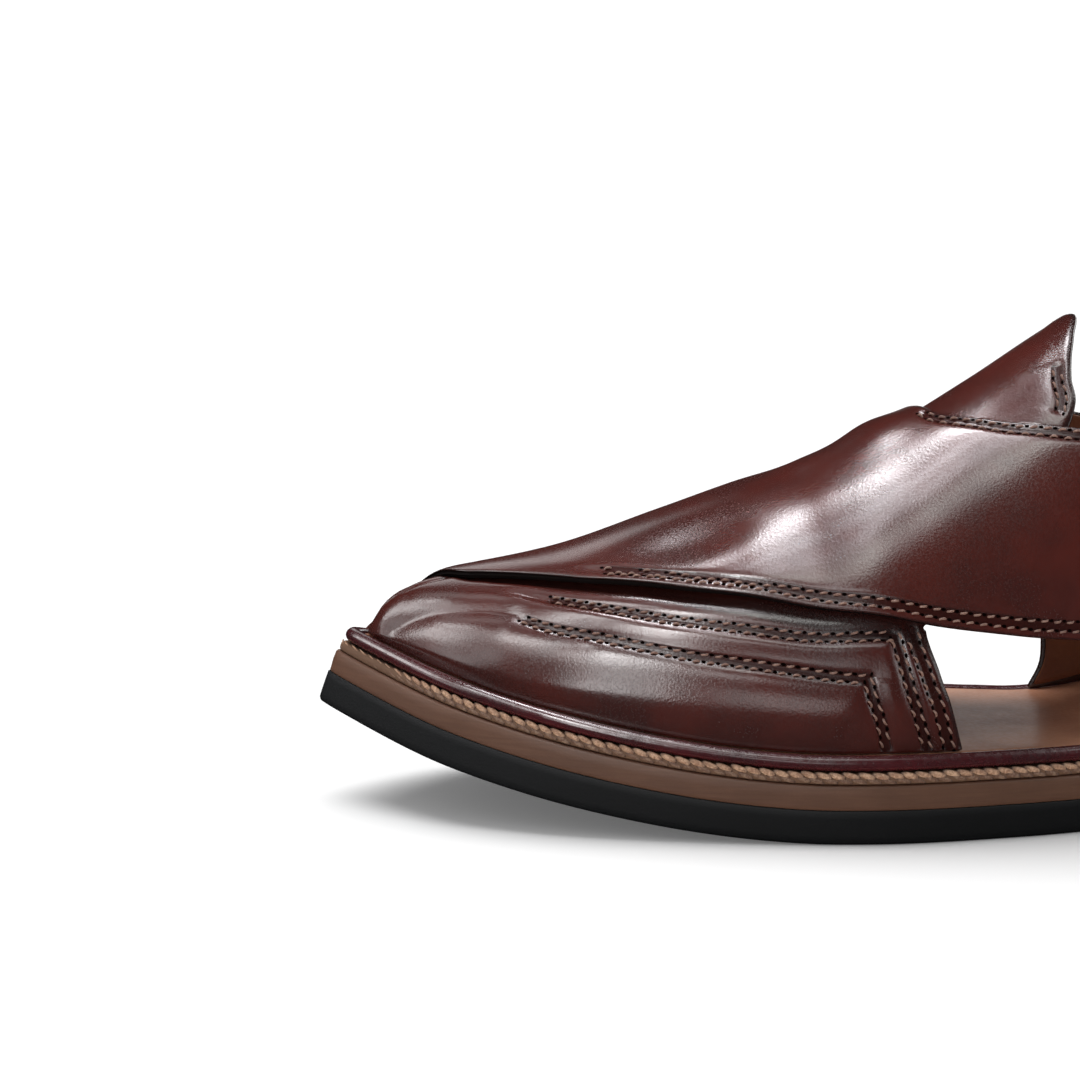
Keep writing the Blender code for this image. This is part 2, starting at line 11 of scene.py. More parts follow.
import logging
from dataclasses import dataclass, field, replace
from enum import Enum
from typing import Callable, NamedTuple

import bmesh
import bpy
import numpy as np
from bpy.types import ID, Material, Node, NodeSocket, NodeTree, Object
from mathutils import Matrix, Vector
from mathutils.bvhtree import BVHTree

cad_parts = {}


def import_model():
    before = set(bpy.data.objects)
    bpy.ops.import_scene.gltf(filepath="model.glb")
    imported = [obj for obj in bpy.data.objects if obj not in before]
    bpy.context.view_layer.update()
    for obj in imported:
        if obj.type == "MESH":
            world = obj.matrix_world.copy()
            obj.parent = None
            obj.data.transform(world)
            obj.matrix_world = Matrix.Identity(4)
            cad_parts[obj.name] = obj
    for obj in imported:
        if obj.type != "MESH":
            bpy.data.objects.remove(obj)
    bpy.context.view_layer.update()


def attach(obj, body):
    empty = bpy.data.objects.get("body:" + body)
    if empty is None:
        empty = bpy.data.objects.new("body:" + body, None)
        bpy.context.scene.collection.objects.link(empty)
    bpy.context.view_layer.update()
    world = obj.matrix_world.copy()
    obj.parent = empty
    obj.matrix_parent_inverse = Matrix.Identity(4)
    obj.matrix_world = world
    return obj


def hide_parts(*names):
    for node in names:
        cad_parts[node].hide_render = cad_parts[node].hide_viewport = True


LOG = logging.getLogger("chappal")
MM = 0.001
UP = np.array([0.0, 0.0, 1.0])
UNSEWN = np.array([0.0, 9.0, 0.0])  # seam coordinates of leather without stitches
FAR = 99.0  # distance that stands for nowhere near an edge or a seam
Array = np.ndarray


# ---- tables and small numeric helpers ----
class Station(NamedTuple):
    """Half-widths of the outsole at one place along it, millimetres."""

    s: float
    outer: float
    inner: float


class Rib(NamedTuple):
    """Section of the last: height and sideways place of its crest, fullness of its flanks."""

    s: float
    crest: float
    crest_x: float
    outer_full: float
    inner_full: float


class Swell(NamedTuple):
    """Place where the last's flank is fuller (or, below 0, hollower) than its ribs."""

    s: float
    t: float
    reach_s: float
    reach_t: float
    rise: float


class Line(NamedTuple):
    """One line of a strap's pattern, from the strap's front edge to its back edge."""

    front_s: float
    front_t: float
    back_s: float
    back_t: float


class Dent(NamedTuple):
    """Hollow pressed into the insole by the foot."""

    s: float
    x: float
    reach_s: float
    reach_x: float
    depth: float


class Strand(NamedTuple):
    """One row of the welt's rope: height and drop, thickness, run, lean, phase and painted shade.
    """

    level: float
    drop: float
    thick: float
    run: float
    lean: float
    phase: float
    shade: float


class Way(NamedTuple):
    """Point of the heel strap's centre line and how far its upper edge leans in."""

    s: float
    x: float
    n: float
    lean: float


class Slot(Enum):
    """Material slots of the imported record."""

    RUBBER = "rubber"
    MIDSOLE = "midsole"
    WELT = "welt"
    PIPING = "piping"
    INSOLE = "insole"
    UPPER = "upper"
    BUCKLE = "buckle"


OUTLINE = (
    Station(0, 8.5, 9.5), Station(12, 17.9, 17.7), Station(25, 27.0, 24.5), Station(45, 37.2, 32.0),
    Station(70, 44.5, 38.5), Station(95, 48.7, 41.5), Station(120, 50.2, 39.5),
    Station(150, 45.3, 33.0), Station(180, 37.5, 28.5), Station(210, 33.8, 28.5),
    Station(240, 33.5, 31.0), Station(265, 32.5, 31.0), Station(290, 26.0, 25.0),
)
LAST_RIBS = (
    Rib(7.2, 18.5, 0.0, 2.0, 2.0), Rib(10, 25.2, -0.3, 2.0, 2.0), Rib(14, 29.6, -0.5, 2.0, 2.0),
    Rib(20, 33.5, -0.8, 2.1, 2.1), Rib(27, 36.6, -1.2, 2.1, 2.1), Rib(45, 44.6, -2.2, 2.2, 2.2),
    Rib(70, 57.2, -3.5, 2.2, 2.2), Rib(90, 65.4, -4.8, 2.1, 2.1), Rib(110, 71.2, -6.0, 2.0, 2.0),
    Rib(120, 75.0, -6.3, 2.0, 2.0), Rib(132, 81.0, -6.6, 1.9, 1.9), Rib(150, 92.0, -7.0, 1.9, 1.9),
    Rib(172, 106.5, -6.4, 2.1, 2.1), Rib(195, 118.0, -5.2, 2.4, 2.4),
    Rib(220, 123.0, -4.0, 2.6, 2.6), Rib(290, 123.0, 0.0, 2.6, 2.6),
)
LAST_SWELLS = (
    Swell(77, 0.33, 19, 0.15, -2.3), Swell(125, 0.12, 15, 0.09, 1.3),
    Swell(136, 0.39, 12, 0.20, 0.7),
)
UNDER_PATTERN = (
    Line(7.2, 1.00, 137.0, 1.00), Line(7.2, 0.75, 134.5, 0.90), Line(7.2, 0.50, 132.2, 0.83),
    Line(7.2, 0.25, 129.7, 0.72), Line(7.2, -0.10, 134.0, 0.63), Line(7.2, -0.50, 143.0, 0.57),
    Line(7.2, -0.98, 150.0, 0.53), Line(20.0, -0.97, 157.0, 0.49), Line(34.0, -0.88, 163.5, 0.44),
    Line(50.0, -0.80, 166.8, 0.38), Line(67.0, -0.74, 167.1, 0.31), Line(84.0, -0.71, 168.3, 0.24),
    Line(101.0, -0.70, 170.3, 0.16), Line(117.0, -0.71, 172.8, 0.04),
    Line(131.0, -0.73, 170.6, -0.14), Line(143.0, -0.765, 168.8, -0.29),
    Line(154.0, -0.80, 171.0, -0.42), Line(163.0, -0.83, 181.0, -0.54),
    Line(169.0, -0.86, 197.0, -0.64), Line(172.6, -0.90, 212.0, -0.70),
    Line(173.3, -0.94, 222.5, -0.76), Line(172.8, -0.97, 222.0, -0.88),
    Line(170.4, -1.00, 217.5, -1.00),
)
OVER_PATTERN = (
    Line(12.0, -1.00, 137.0, -1.00), Line(13.0, -0.75, 134.5, -0.90),
    Line(14.5, -0.50, 132.2, -0.82), Line(17.0, -0.25, 130.0, -0.72),
    Line(20.0, -0.03, 131.5, -0.60), Line(23.0, 0.11, 133.5, -0.42), Line(29.0, 0.19, 135.5, -0.24),
    Line(37.0, 0.27, 137.3, -0.06), Line(46.0, 0.35, 139.4, 0.13), Line(54.4, 0.42, 143.0, 0.22),
    Line(72.0, 0.53, 152.0, 0.33), Line(92.0, 0.60, 161.0, 0.41), Line(112.0, 0.66, 170.0, 0.48),
    Line(129.0, 0.72, 183.0, 0.56), Line(144.0, 0.77, 196.0, 0.63), Line(156.0, 0.81, 208.0, 0.68),
    Line(165.0, 0.84, 218.0, 0.72), Line(171.5, 0.87, 223.0, 0.77), Line(173.3, 0.92, 222.3, 0.86),
    Line(172.8, 0.97, 220.0, 0.93), Line(170.4, 1.00, 217.5, 1.00),
)
HEEL_STRAP_ROUTE = (
    Way(203.0, -25.4, 59.0, 2.4), Way(214.0, -25.3, 59.5, 2.4), Way(226.0, -25.6, 60.5, 2.0),
    Way(246.0, -26.2, 62.5, 1.2), Way(263.0, -22.6, 65.0, 0.8), Way(275.0, -12.6, 67.0, 0.6),
    Way(278.5, 0.0, 67.5, 0.6), Way(275.5, 13.0, 67.0, 0.6), Way(265.0, 23.4, 65.0, 0.8),
    Way(253.0, 27.4, 63.0, 1.0), Way(243.0, 28.3, 62.0, 1.2), Way(235.0, 31.3, 61.2, 1.6),
    Way(227.0, 34.5, 60.4, 1.8), Way(214.0, 34.6, 59.4, 2.2), Way(198.0, 33.3, 58.5, 2.4),
)


class Curve:
    """Smooth line through one column of a table, against another."""

    def __init__(self, keys: Array, values: Array) -> None:
        """Args:
            keys: rising places of the rows.
            values: the column's numbers at those places.
        """
        self.keys = np.asarray(keys, float)
        self.values = np.asarray(values, float)
        self.gaps = np.diff(self.keys)
        rises = np.diff(self.values) / self.gaps
        middle = (self.gaps[1:] * rises[:-1] + self.gaps[:-1] * rises[1:])
        middle = middle / (self.gaps[1:] + self.gaps[:-1])
        self.slopes = np.concatenate([rises[:1], middle, rises[-1:]])

    def at(self, place: Array) -> Array:
        """Value at a place, held level beyond the ends.

        Args:
            place: places along the keys.

        Returns:
            The smooth values there.
        """
        place = np.clip(np.asarray(place, float), self.keys[0], self.keys[-1])
        i = np.clip(np.searchsorted(self.keys, place, side="right") - 1, 0, len(self.gaps) - 1)
        gap = self.gaps[i]
        u = (place - self.keys[i]) / gap
        return ((2 * u**3 - 3 * u**2 + 1) * self.values[i]
                + (u**3 - 2 * u**2 + u) * gap * self.slopes[i]
                + (3 * u**2 - 2 * u**3) * self.values[i + 1]
                + (u**3 - u**2) * gap * self.slopes[i + 1])


def ease(x: Array) -> Array:
    """0 to 1 with level ends."""
    x = np.clip(x, 0.0, 1.0)
    return x * x * (3.0 - 2.0 * x)


def unit(vectors: Array) -> Array:
    """Vectors of length one, along the last axis."""
    return vectors / (np.linalg.norm(vectors, axis=-1, keepdims=True) + 1e-12)


def arc_length(points: Array) -> Array:
    """Distance along a line of points, from its first."""
    steps = np.linalg.norm(np.diff(points, axis=0), axis=1)
    return np.concatenate([[0.0], np.cumsum(steps)])


def resample(points: Array, spacing: float) -> Array:
    """A line of points laid out again at an even spacing.

    Args:
        points: the line, shape (n, 3).
        spacing: wanted distance between points.

    Returns:
        The new points.
    """
    length = arc_length(points)
    count = max(int(round(length[-1] / spacing)), 2)
    places = np.linspace(0.0, length[-1], count + 1)
    return np.stack([np.interp(places, length, points[:, k]) for k in range(3)], axis=1)


def crowded(count: int, front: float = 0.0, back: float = 0.0, power: float = 1.0) -> Array:
    """Shares from 0 to 1 that lie closer together near the ends.

    Args:
        count: number of steps.
        front: how much of the range at the front is divided three times as finely.
        back: the same at the back.
        power: extra crowding towards the front.

    Returns:
        count + 1 rising shares.
    """
    fine = np.linspace(0.0, 1.0, 2001)
    middle = (fine[1:] + fine[:-1]) / 2
    density = 1.0 + 2.0 * (1.0 - ease((middle - front) / 0.05)) * (front > 0)
    density = density + 2.0 * ease((middle - (1.0 - back - 0.05)) / 0.05) * (back > 0)
    total = np.concatenate([[0.0], np.cumsum(density)])
    return np.interp(np.linspace(0.0, 1.0, count + 1), total / total[-1], fine)**power


# ---- the shoe's own shape ----
@dataclass(frozen=True)
class Sole:
    """Curved sole of the shoe: its outline, its toe spring and its rise to the heel."""

    length: float = 290.0
    toe_lift: float = 21.5
    toe_run: float = 110.0
    toe_curve: float = 1.76
    toe_blend: float = 0.05
    heel_rise: float = 8.0
    waist_front: float = 164.0
    waist_back: float = 214.0
    toe_round: float = 30.0
    heel_round: float = 34.0
    middle_x: float = 4.35
    outer: Curve = Curve([r.s for r in OUTLINE], [r.outer for r in OUTLINE])
    inner: Curve = Curve([r.s for r in OUTLINE], [r.inner for r in OUTLINE])

    def spring(self, x: Array, s: Array, n: Array) -> Array:
        """World point of sole coordinates.

        Args:
            x: to the outer side.
            s: along the shoe from the tip of the toe.
            n: out of the underside of the outsole.

        Returns:
            Points in millimetres, with the last axis x, y and z.
        """
        left = 1.0 - np.asarray(s, float) / self.toe_run
        lift = self.toe_lift * np.clip(left, 0.0, 1.0)**self.toe_curve
        eased = (left + np.sqrt(left * left + self.toe_blend**2)) / 2
        slope = self.toe_lift * self.toe_curve / self.toe_run * eased**(self.toe_curve - 1.0)
        upright = 1.0 / np.sqrt(1.0 + slope * slope)
        y = s + n * slope * upright - self.length / 2
        z = lift + n * upright + self.rise(s)
        return np.stack(np.broadcast_arrays(x - self.middle_x, y, z), axis=-1)

    def rise(self, s: Array) -> Array:
        """Height of the sole's underside over the ground behind the ball, towards the heel."""
        return self.heel_rise * ease((s - self.waist_front) / (self.waist_back - self.waist_front))

    def half_width(self, s: Array, outer: bool, inset: float) -> Array:
        """Half-width of the outline on one side.

        Args:
            s: places along the shoe.
            outer: whether it is the outer side.
            inset: how far in from the outline.

        Returns:
            The half-widths.
        """
        toe = np.clip(1.0 - (s - inset) / self.toe_round, 0.0, 1.0)
        heel = np.clip(1.0 - (self.length - inset - s) / self.heel_round, 0.0, 1.0)
        width = (self.outer if outer else self.inner).at(s) - inset
        return width * np.sqrt(1.0 - toe * toe) * np.sqrt(1.0 - heel * heel)

    def width_at(self, s: Array, x: Array, inset: float) -> Array:
        """Half-width on the side that x lies on."""
        return np.where(x > 0, self.half_width(s, True, inset), self.half_width(s, False, inset))

    def loop(self, inset: float, count: int) -> tuple[Array, Array]:
        """Evenly spaced places round the outline, from the toe along the outer side.

        Args:
            inset: how far in from the outline.
            count: number of places.

        Returns:
            Their s and their x.
        """
        share = (1.0 - np.cos(np.linspace(0.0, np.pi, 1500))) / 2
        along = inset + (self.length - 2 * inset) * share
        s = np.concatenate([along, along[-2::-1]])
        x = np.concatenate([self.half_width(along, True, inset),
                            -self.half_width(along[-2::-1], False, inset)])
        length = arc_length(np.stack([x, s, s * 0], axis=1))
        places = np.linspace(0.0, length[-1], count, endpoint=False)
        return np.interp(places, length, s), np.interp(places, length, x)


@dataclass(frozen=True)
class Last:
    """Form that the upper is drawn over."""

    sole: Sole
    inset: float = 7.2
    foot: float = 18.5
    crest: Curve = Curve([r.s for r in LAST_RIBS], [r.crest for r in LAST_RIBS])
    crest_x: Curve = Curve([r.s for r in LAST_RIBS], [r.crest_x for r in LAST_RIBS])
    outer_full: Curve = Curve([r.s for r in LAST_RIBS], [r.outer_full for r in LAST_RIBS])
    inner_full: Curve = Curve([r.s for r in LAST_RIBS], [r.inner_full for r in LAST_RIBS])

    def surface(self, s: Array, t: Array) -> Array:
        """Points on the last's own skin.

        Args:
            s: places along the shoe.
            t: places round the last.

        Returns:
            The points in millimetres.
        """
        s = np.clip(s, self.inset, self.sole.length - self.inset)
        full = np.where(t > 0.0, self.outer_full.at(s), self.inner_full.at(s))
        angle = (1.0 - np.abs(t)) * np.pi / 2
        across = np.clip(np.cos(angle), 0.0, 1.0)**(2.0 / full)
        up = np.clip(np.sin(angle), 0.0, 1.0)**(2.0 / full)
        foot = np.where(t > 0.0, self.sole.half_width(s, True, self.inset),
                        -self.sole.half_width(s, False, self.inset))
        middle = self.crest_x.at(s) * np.clip((s - self.inset) / 15.0, 0.0, 1.0)
        height = self.crest.at(s) - self.foot
        rise = sum(w.rise * np.exp(-((s - w.s) / w.reach_s)**2 - ((t - w.t) / w.reach_t)**2)
                   for w in LAST_SWELLS)
        x = middle + (foot - middle) * across + np.sign(foot) * rise * np.cos(angle)
        return self.sole.spring(x, s, self.foot + height * up + rise * np.sin(angle))

    def normal(self, s: Array, t: Array) -> Array:
        """Outward directions of the skin.

        Args:
            s: places along the shoe.
            t: places round the last.

        Returns:
            Vectors of length one.
        """
        along = self.surface(s + 0.4, t) - self.surface(np.maximum(s - 0.4, self.inset + 0.05), t)
        near = np.maximum(s, self.inset + 0.4)
        around = self.surface(near, np.minimum(t + 0.01, 1.0))
        around = around - self.surface(near, np.maximum(t - 0.01, -1.0))
        return unit(np.cross(around, along))

    def line(self, places: list[tuple[float, float]], lift: float) -> Array:
        """Smooth line on the last through (s, t) places, sampled every half millimetre.

        Args:
            places: the places it runs through, in order.
            lift: distance off the skin.

        Returns:
            Its points, shape (n, 3).
        """
        keys = np.arange(len(places), dtype=float)
        fine = np.linspace(0.0, keys[-1], 60 * len(places))
        s = Curve(keys, [p[0] for p in places]).at(fine)
        t = np.clip(Curve(keys, [p[1] for p in places]).at(fine), -1.0, 1.0)
        return resample(self.surface(s, t) + lift * self.normal(s, t), 0.5)


SOLE = Sole()
LAST = Last(SOLE)


# ---- meshes ----
def stand(name: str, data: ID) -> Object:
    """New object in the scene.

    Args:
        name: its name.
        data: its mesh, light or camera.

    Returns:
        The object.
    """
    thing = bpy.data.objects.new(name, data)
    bpy.context.scene.collection.objects.link(thing)
    return thing


class Skin:
    """Points and faces gathered for one mesh, with numbers kept for each point."""

    def __init__(self) -> None:
        """Start with nothing."""
        self.points: list[Array] = []
        self.faces: list[Array] = []
        self.numbers: dict[str, list[Array]] = {}
        self.count = 0

    def add_points(self, points: Array, **numbers: Array) -> Array:
        """Add points of any array shape.

        Args:
            points: positions in millimetres.
            numbers: arrays that go with them, one row or number for each point.

        Returns:
            Their indices, in the array's shape without its last axis.
        """
        shape = points.shape[:-1]
        amount = int(np.prod(shape))
        for name, values in numbers.items():
            rows = self.numbers.setdefault(name, [])
            missing = self.count - sum(len(r) for r in rows)
            flat = np.asarray(values, float).reshape(amount, -1)
            if missing:
                rows.append(np.zeros((missing, flat.shape[1])))
            rows.append(flat)
        self.points.append(points.reshape(-1, 3))
        self.count += amount
        return np.arange(self.count - amount, self.count).reshape(shape)

    def add_grid(self, index: Array, closed: bool = False, flip: bool = False) -> None:
        """Quads over a grid of indices.

        Args:
            index: indices, shape (rows, columns).
            closed: whether the last column joins the first.
            flip: whether the faces look the other way.
        """
        right = np.roll(index, -1, axis=1) if closed else index[:, 1:]
        left = index if closed else index[:, :-1]
        quads = np.stack([left[:-1], right[:-1], right[1:], left[1:]], axis=-1).reshape(-1, 4)
        self.faces.append(quads[:, ::-1] if flip else quads)

    def add_caps(self, index: Array) -> None:
        """Close both ends of a grid of indices that is closed round."""
        self.faces += [index[:1, ::-1], index[-1:]]

    def build(self, name: str, weld: float = 0.0) -> Object:
        """Make the object.

        Args:
            name: the piece's name.
            weld: distance in millimetres below which points become one, 0 for none.

        Returns:
            The object, smooth shaded and in the scene.
        """
        mesh = bpy.data.meshes.new(name)
        faces = [face for block in self.faces for face in block.tolist()]
        mesh.from_pydata((np.concatenate(self.points) * MM).tolist(), [], faces)
        for label, rows in self.numbers.items():
            values = np.concatenate(rows)
            missing = self.count - len(values)
            values = np.concatenate([values, np.zeros((missing, values.shape[1]))])
            kind = "FLOAT" if values.shape[1] == 1 else "FLOAT_VECTOR"
            layer = mesh.attributes.new(label, kind, "POINT")
            layer.data.foreach_set("value" if kind == "FLOAT" else "vector",
                                   values.astype(np.float32).ravel())
        if weld:
            cage = bmesh.new()
            cage.from_mesh(mesh)
            bmesh.ops.remove_doubles(cage, verts=cage.verts, dist=weld * MM)
            bmesh.ops.dissolve_degenerate(cage, edges=cage.edges, dist=weld * MM / 2)
            bmesh.ops.recalc_face_normals(cage, faces=cage.faces)
            cage.to_mesh(mesh)
            cage.free()
        mesh.shade_smooth()
        return stand(name, mesh)


def tube(skin: Skin, centre: Array, side: Array, up: Array, wide: Array, tall: Array,
         sides: int, closed: bool = False, **numbers: Array) -> None:
    """Add a round or oval tube.

    Args:
        skin: mesh that it is added to.
        centre: points along it, shape (n, 3).
        side: unit vectors across it at each point.
        up: unit vectors at right angles to those.
        wide: half-width at each point.
        tall: half-height at each point.
        sides: number of points round it.
        closed: whether its end joins its start; otherwise it ends in caps.
        numbers: values for each point along it, repeated round it.
    """
    angle = np.linspace(0.0, 2 * np.pi, sides, endpoint=False)
    ring = (side[:, None] * (np.cos(angle)[None, :, None] * np.reshape(wide, (-1, 1, 1)))
            + up[:, None] * (np.sin(angle)[None, :, None] * np.reshape(tall, (-1, 1, 1))))
    spread = {label: np.repeat(np.asarray(values, float)[:, None], sides, axis=1)
              for label, values in numbers.items()}
    index = skin.add_points(centre[:, None] + ring, **spread)
    if closed:
        index = np.concatenate([index, index[:1]])
    skin.add_grid(index, closed=True)
    if not closed:
        skin.add_caps(index)


# ---- stitching ----
@dataclass
class Seam:
    """Double row of stitches along a line on the leather.

    `line` runs along the leather; the middle of the pair lies `offset` to its left, seen with the
    leather's outer face towards the viewer.  The leather is pressed in by `depth`, which fades
    out over `run_in` beyond the ends.  Beside a `sided` seam the padding rises more slowly on the
    left, and `soften` leaves more of it over the seam.
    """

    line: Array
    offset: float = 0.0
    gap: float = 1.5
    pitch: float = 3.0
    start: float = 0.0
    end: float = 1e9
    depth: float = 0.55
    stitched: bool = True
    sided: bool = False
    run_in: float = 2.0
    soften: float = 0.0

    def locate(self, points: Array, normals: Array) -> tuple[Array, Array]:
        """Where points lie along and across the seam.

        Args:
            points: positions, shape (n, 3).
            normals: the leather's outward directions there.

        Returns:
            Distance along the line and signed distance from the middle of the pair.
        """
        tangents = unit(np.gradient(self.line, axis=0))
        length = arc_length(self.line)
        nearest = np.empty(len(points), int)
        for first in range(0, len(points), 4000):
            block = points[first:first + 4000]
            apart = ((block[:, None] - self.line[None])**2).sum(-1)
            nearest[first:first + 4000] = apart.argmin(1)
        away = points - self.line[nearest]
        along = length[nearest] + np.einsum("ij,ij->i", away, tangents[nearest])
        left = np.cross(normals, tangents[nearest])
        sign = np.sign(np.einsum("ij,ij->i", away, left) + 1e-9)
        return along, sign * np.linalg.norm(away, axis=1) - self.offset

    def fade(self, along: Array, reach: float = 1.2) -> Array:
        """1 on the stitched stretch, falling to 0 over `reach` beyond its ends."""
        last = min(self.end, arc_length(self.line)[-1] + 1.0)
        return ease((along - self.start + reach) / reach) * ease((last + reach - along) / reach)


class Needlework:
    """Threads and needle pricks of all the seams of one piece of leather; each prick is a small
    patch with a needle hole's shade painted on it.

    Sizes are in millimetres; `reach` is half a stitch's length as a share of the pitch, and a
    stitch's middle rises by `rise` and its ends dive by `dive` from there.
    """

    thread: float = 0.27
    reach: float = 0.33
    twist: float = 0.24
    rise: float = 0.34
    dive: float = 0.85
    prick: tuple[float, float] = (0.52, 0.36)
    search: float = 20.0

    def __init__(self, leather: Object) -> None:
        """Args:
            leather: the finished leather that the stitches lie on.
        """
        graph = bpy.context.evaluated_depsgraph_get()
        self.tree = BVHTree.FromObject(leather, graph)
        self.skin = Skin()
        self.pricks = Skin()

    def sew(self, seam: Seam, only_side: int = 0) -> None:
        """Add a seam's stitches.

        Args:
            seam: the double row.
            only_side: 0 for both rows, or +1 or -1 for one.
        """
        if not seam.stitched:
            return
        length = arc_length(seam.line)
        tangents = unit(np.gradient(seam.line, axis=0))
        steps = np.linspace(-1.0, 1.0, 9)
        stop = min(seam.end, length[-1])
        for row in ((-1, 1) if only_side == 0 else (only_side,)):
            shift = seam.pitch * (0.0 if row > 0 else 0.5)
            for middle in np.arange(shift, stop, seam.pitch):
                if middle >= seam.start:
                    self._stitch(seam, row, middle, steps, length, tangents)

    def _stitch(self, seam: Seam, row: int, middle: float, steps: Array, length: Array,
                tangents: Array) -> None:
        """One stitch, a fat thread that rises from one hole and dives into the next.

        Args:
            seam: the seam that it belongs to.
            row: which of the two rows, -1 or +1.
            middle: the stitch's place along the line.
            steps: places along the stitch, from -1 to 1.
            length: distances of the line's points along it.
            tangents: the line's directions.
        """
        i = int(round(np.interp(middle, length, np.arange(len(length)))))
        tangent = tangents[i]
        base = seam.line[i] + tangent * (middle - length[i])
        _, normal = self._on_leather(base)
        left = unit(np.cross(normal, tangent))
        spot, normal = self._on_leather(base + left * (seam.offset + row * seam.gap / 2))
        left = unit(np.cross(normal, tangent))
        ahead = unit(tangent - normal * (tangent @ normal))
        half = seam.pitch * self.reach
        run = steps[:, None] * (ahead * half + left * self.twist)
        arch = self.rise - self.dive * np.abs(steps)**2.6
        centre = spot + run + normal * arch[:, None]
        fat = self.thread * np.sqrt(np.clip(1.0 - 0.72 * np.abs(steps)**2.4, 0.05, 1.0))
        count = len(steps)
        tube(self.skin, centre, np.repeat(left[None], count, 0), np.repeat(normal[None], count, 0),
             fat, fat * 0.9, 8)
        self._prick(spot - ahead * seam.pitch / 2 + left * self.twist * 0.6, ahead, left)

    def _on_leather(self, point: Array) -> tuple[Array, Array]:
        """The leather's nearest point, in millimetres, and its outward direction there."""
        place, normal, *_ = self.tree.find_nearest(Vector(point * MM), self.search * MM)
        return np.array(place) / MM, np.array(normal)

    def _prick(self, spot: Array, ahead: Array, left: Array) -> None:
        """A needle hole's shade, painted on a small near-black patch laid close on the leather at a
        stitch's start.

        Args:
            spot: its middle.
            ahead: the seam's direction.
            left: the direction across the seam.
        """
        turn = np.linspace(0.0, 2 * np.pi, 9)[:-1]
        long, wide = self.prick
        rings = []
        for share in (0.05, 0.6, 1.0):
            around = ((np.cos(turn) * long * share)[:, None] * ahead
                      + (np.sin(turn) * wide * share)[:, None] * left)
            laid = [self._on_leather(point) for point in spot + around]
            rings.append([place + normal * (0.11 - 0.08 * share**2) for place, normal in laid])
        index = self.pricks.add_points(np.array(rings))
        self.pricks.add_grid(index, closed=True)
        self.pricks.faces.append(index[:1])

    def finish(self, name: str, thread: Material, shade: Material, slot: Slot) -> list[Object]:
        """Make and dress the threads and the pricks.

        Args:
            name: the leather's name.
            thread: the thread's material.
            shade: the pricks' material.
            slot: the record's material slot.

        Returns:
            The two pieces.
        """
        return [dress(self.skin.build(name + "_stitches"), thread, slot),
                dress(self.pricks.build(name + "_pricks"), shade, slot)]


# ---- node trees ----
class Tree:
    """Short way to build a node tree."""

    def __init__(self, tree: NodeTree) -> None:
        """Args:
            tree: the tree that nodes are added to.
        """
        self.tree = tree

    def add(self, kind: str, inputs: dict | None = None, **settings: object) -> Node:
        """Add a node.

        Args:
            kind: its type without the leading ShaderNode.
            inputs: sockets by name or number, each a socket to link or a plain value.
            settings: properties of the node.

        Returns:
            The node.
        """
        name = kind if kind.startswith("Node") else "ShaderNode" + kind
        node = self.tree.nodes.new(name)
        for key, value in settings.items():
            setattr(node, key, value)
        self.feed(node, inputs or {})
        return node

    def feed(self, node: Node, inputs: dict) -> None:
        """Link or set inputs of a node.

        Args:
            node: the node.
            inputs: sockets by name or number, each a socket to link or a plain value.
        """
        for key, value in inputs.items():
            if isinstance(value, NodeSocket):
                self.tree.links.new(value, node.inputs[key])
            else:
                node.inputs[key].default_value = value

    def math(self, operation: str, a: object, b: object = 0.0, clamp: bool = False) -> NodeSocket:
        """Result of a Math node."""
        node = self.add("Math", {0: a, 1: b}, operation=operation, use_clamp=clamp)
        return node.outputs[0]

    def mix(self, factor: object, a: object, b: object) -> NodeSocket:
        """Mixed colour."""
        return self.add("Mix", {0: factor, 6: a, 7: b}, data_type="RGBA").outputs[2]

    def span(self, value: NodeSocket, low: float, high: float) -> NodeSocket:
        """Value mapped smoothly from `low` and `high` to 0 and 1, and held beyond them."""
        inputs = {0: value, 1: low, 2: high, 3: 0.0, 4: 1.0}
        return self.add("MapRange", inputs, interpolation_type="SMOOTHSTEP").outputs[0]

    def attribute(self, name: str) -> Node:
        """Node that reads the numbers kept for the mesh's points under a name."""
        return self.add("Attribute", attribute_name=name, attribute_type="GEOMETRY")

    def bump(self, height: NodeSocket, strength: float, distance: float,
             normal: NodeSocket | None = None) -> NodeSocket:
        """Normal of a bumped surface.

        Args:
            height: the relief, as a number.
            strength: its strength.
            distance: its depth in millimetres for a height of 1.
            normal: normal of the surface under it, if it is bumped already.

        Returns:
            The new normal.
        """
        inputs = {"Height": height, "Strength": strength, "Distance": distance * MM}
        if normal:
            inputs["Normal"] = normal
        return self.add("Bump", inputs).outputs[0]

    def noise(self, scale: object, detail: float = 2.0, roughness: float = 0.5,
              vector: NodeSocket | None = None) -> NodeSocket:
        """Noise over the object's own coordinates.

        Args:
            scale: its features a millimetre.
            detail: its octaves.
            roughness: how strong the finer octaves are.
            vector: coordinates in millimetres, if not the object's own.

        Returns:
            The noise, about 0.2 to 0.8.
        """
        inputs = {"Scale": scale, "Detail": detail, "Roughness": roughness,
                  "Vector": vector or self.millimetres()}
        return self.add("TexNoise", inputs).outputs[0]

    def millimetres(self, stretch: tuple[float, float, float] = (1.0, 1.0, 1.0)) -> NodeSocket:
        """The object's coordinates in millimetres.

        Args:
            stretch: how many times they are stretched along each axis.

        Returns:
            The coordinates.
        """
        place = self.add("TexCoord").outputs["Object"]
        scale = tuple(1.0 / MM * k for k in stretch)
        return self.add("Mapping", {"Vector": place, "Scale": scale}).outputs[0]


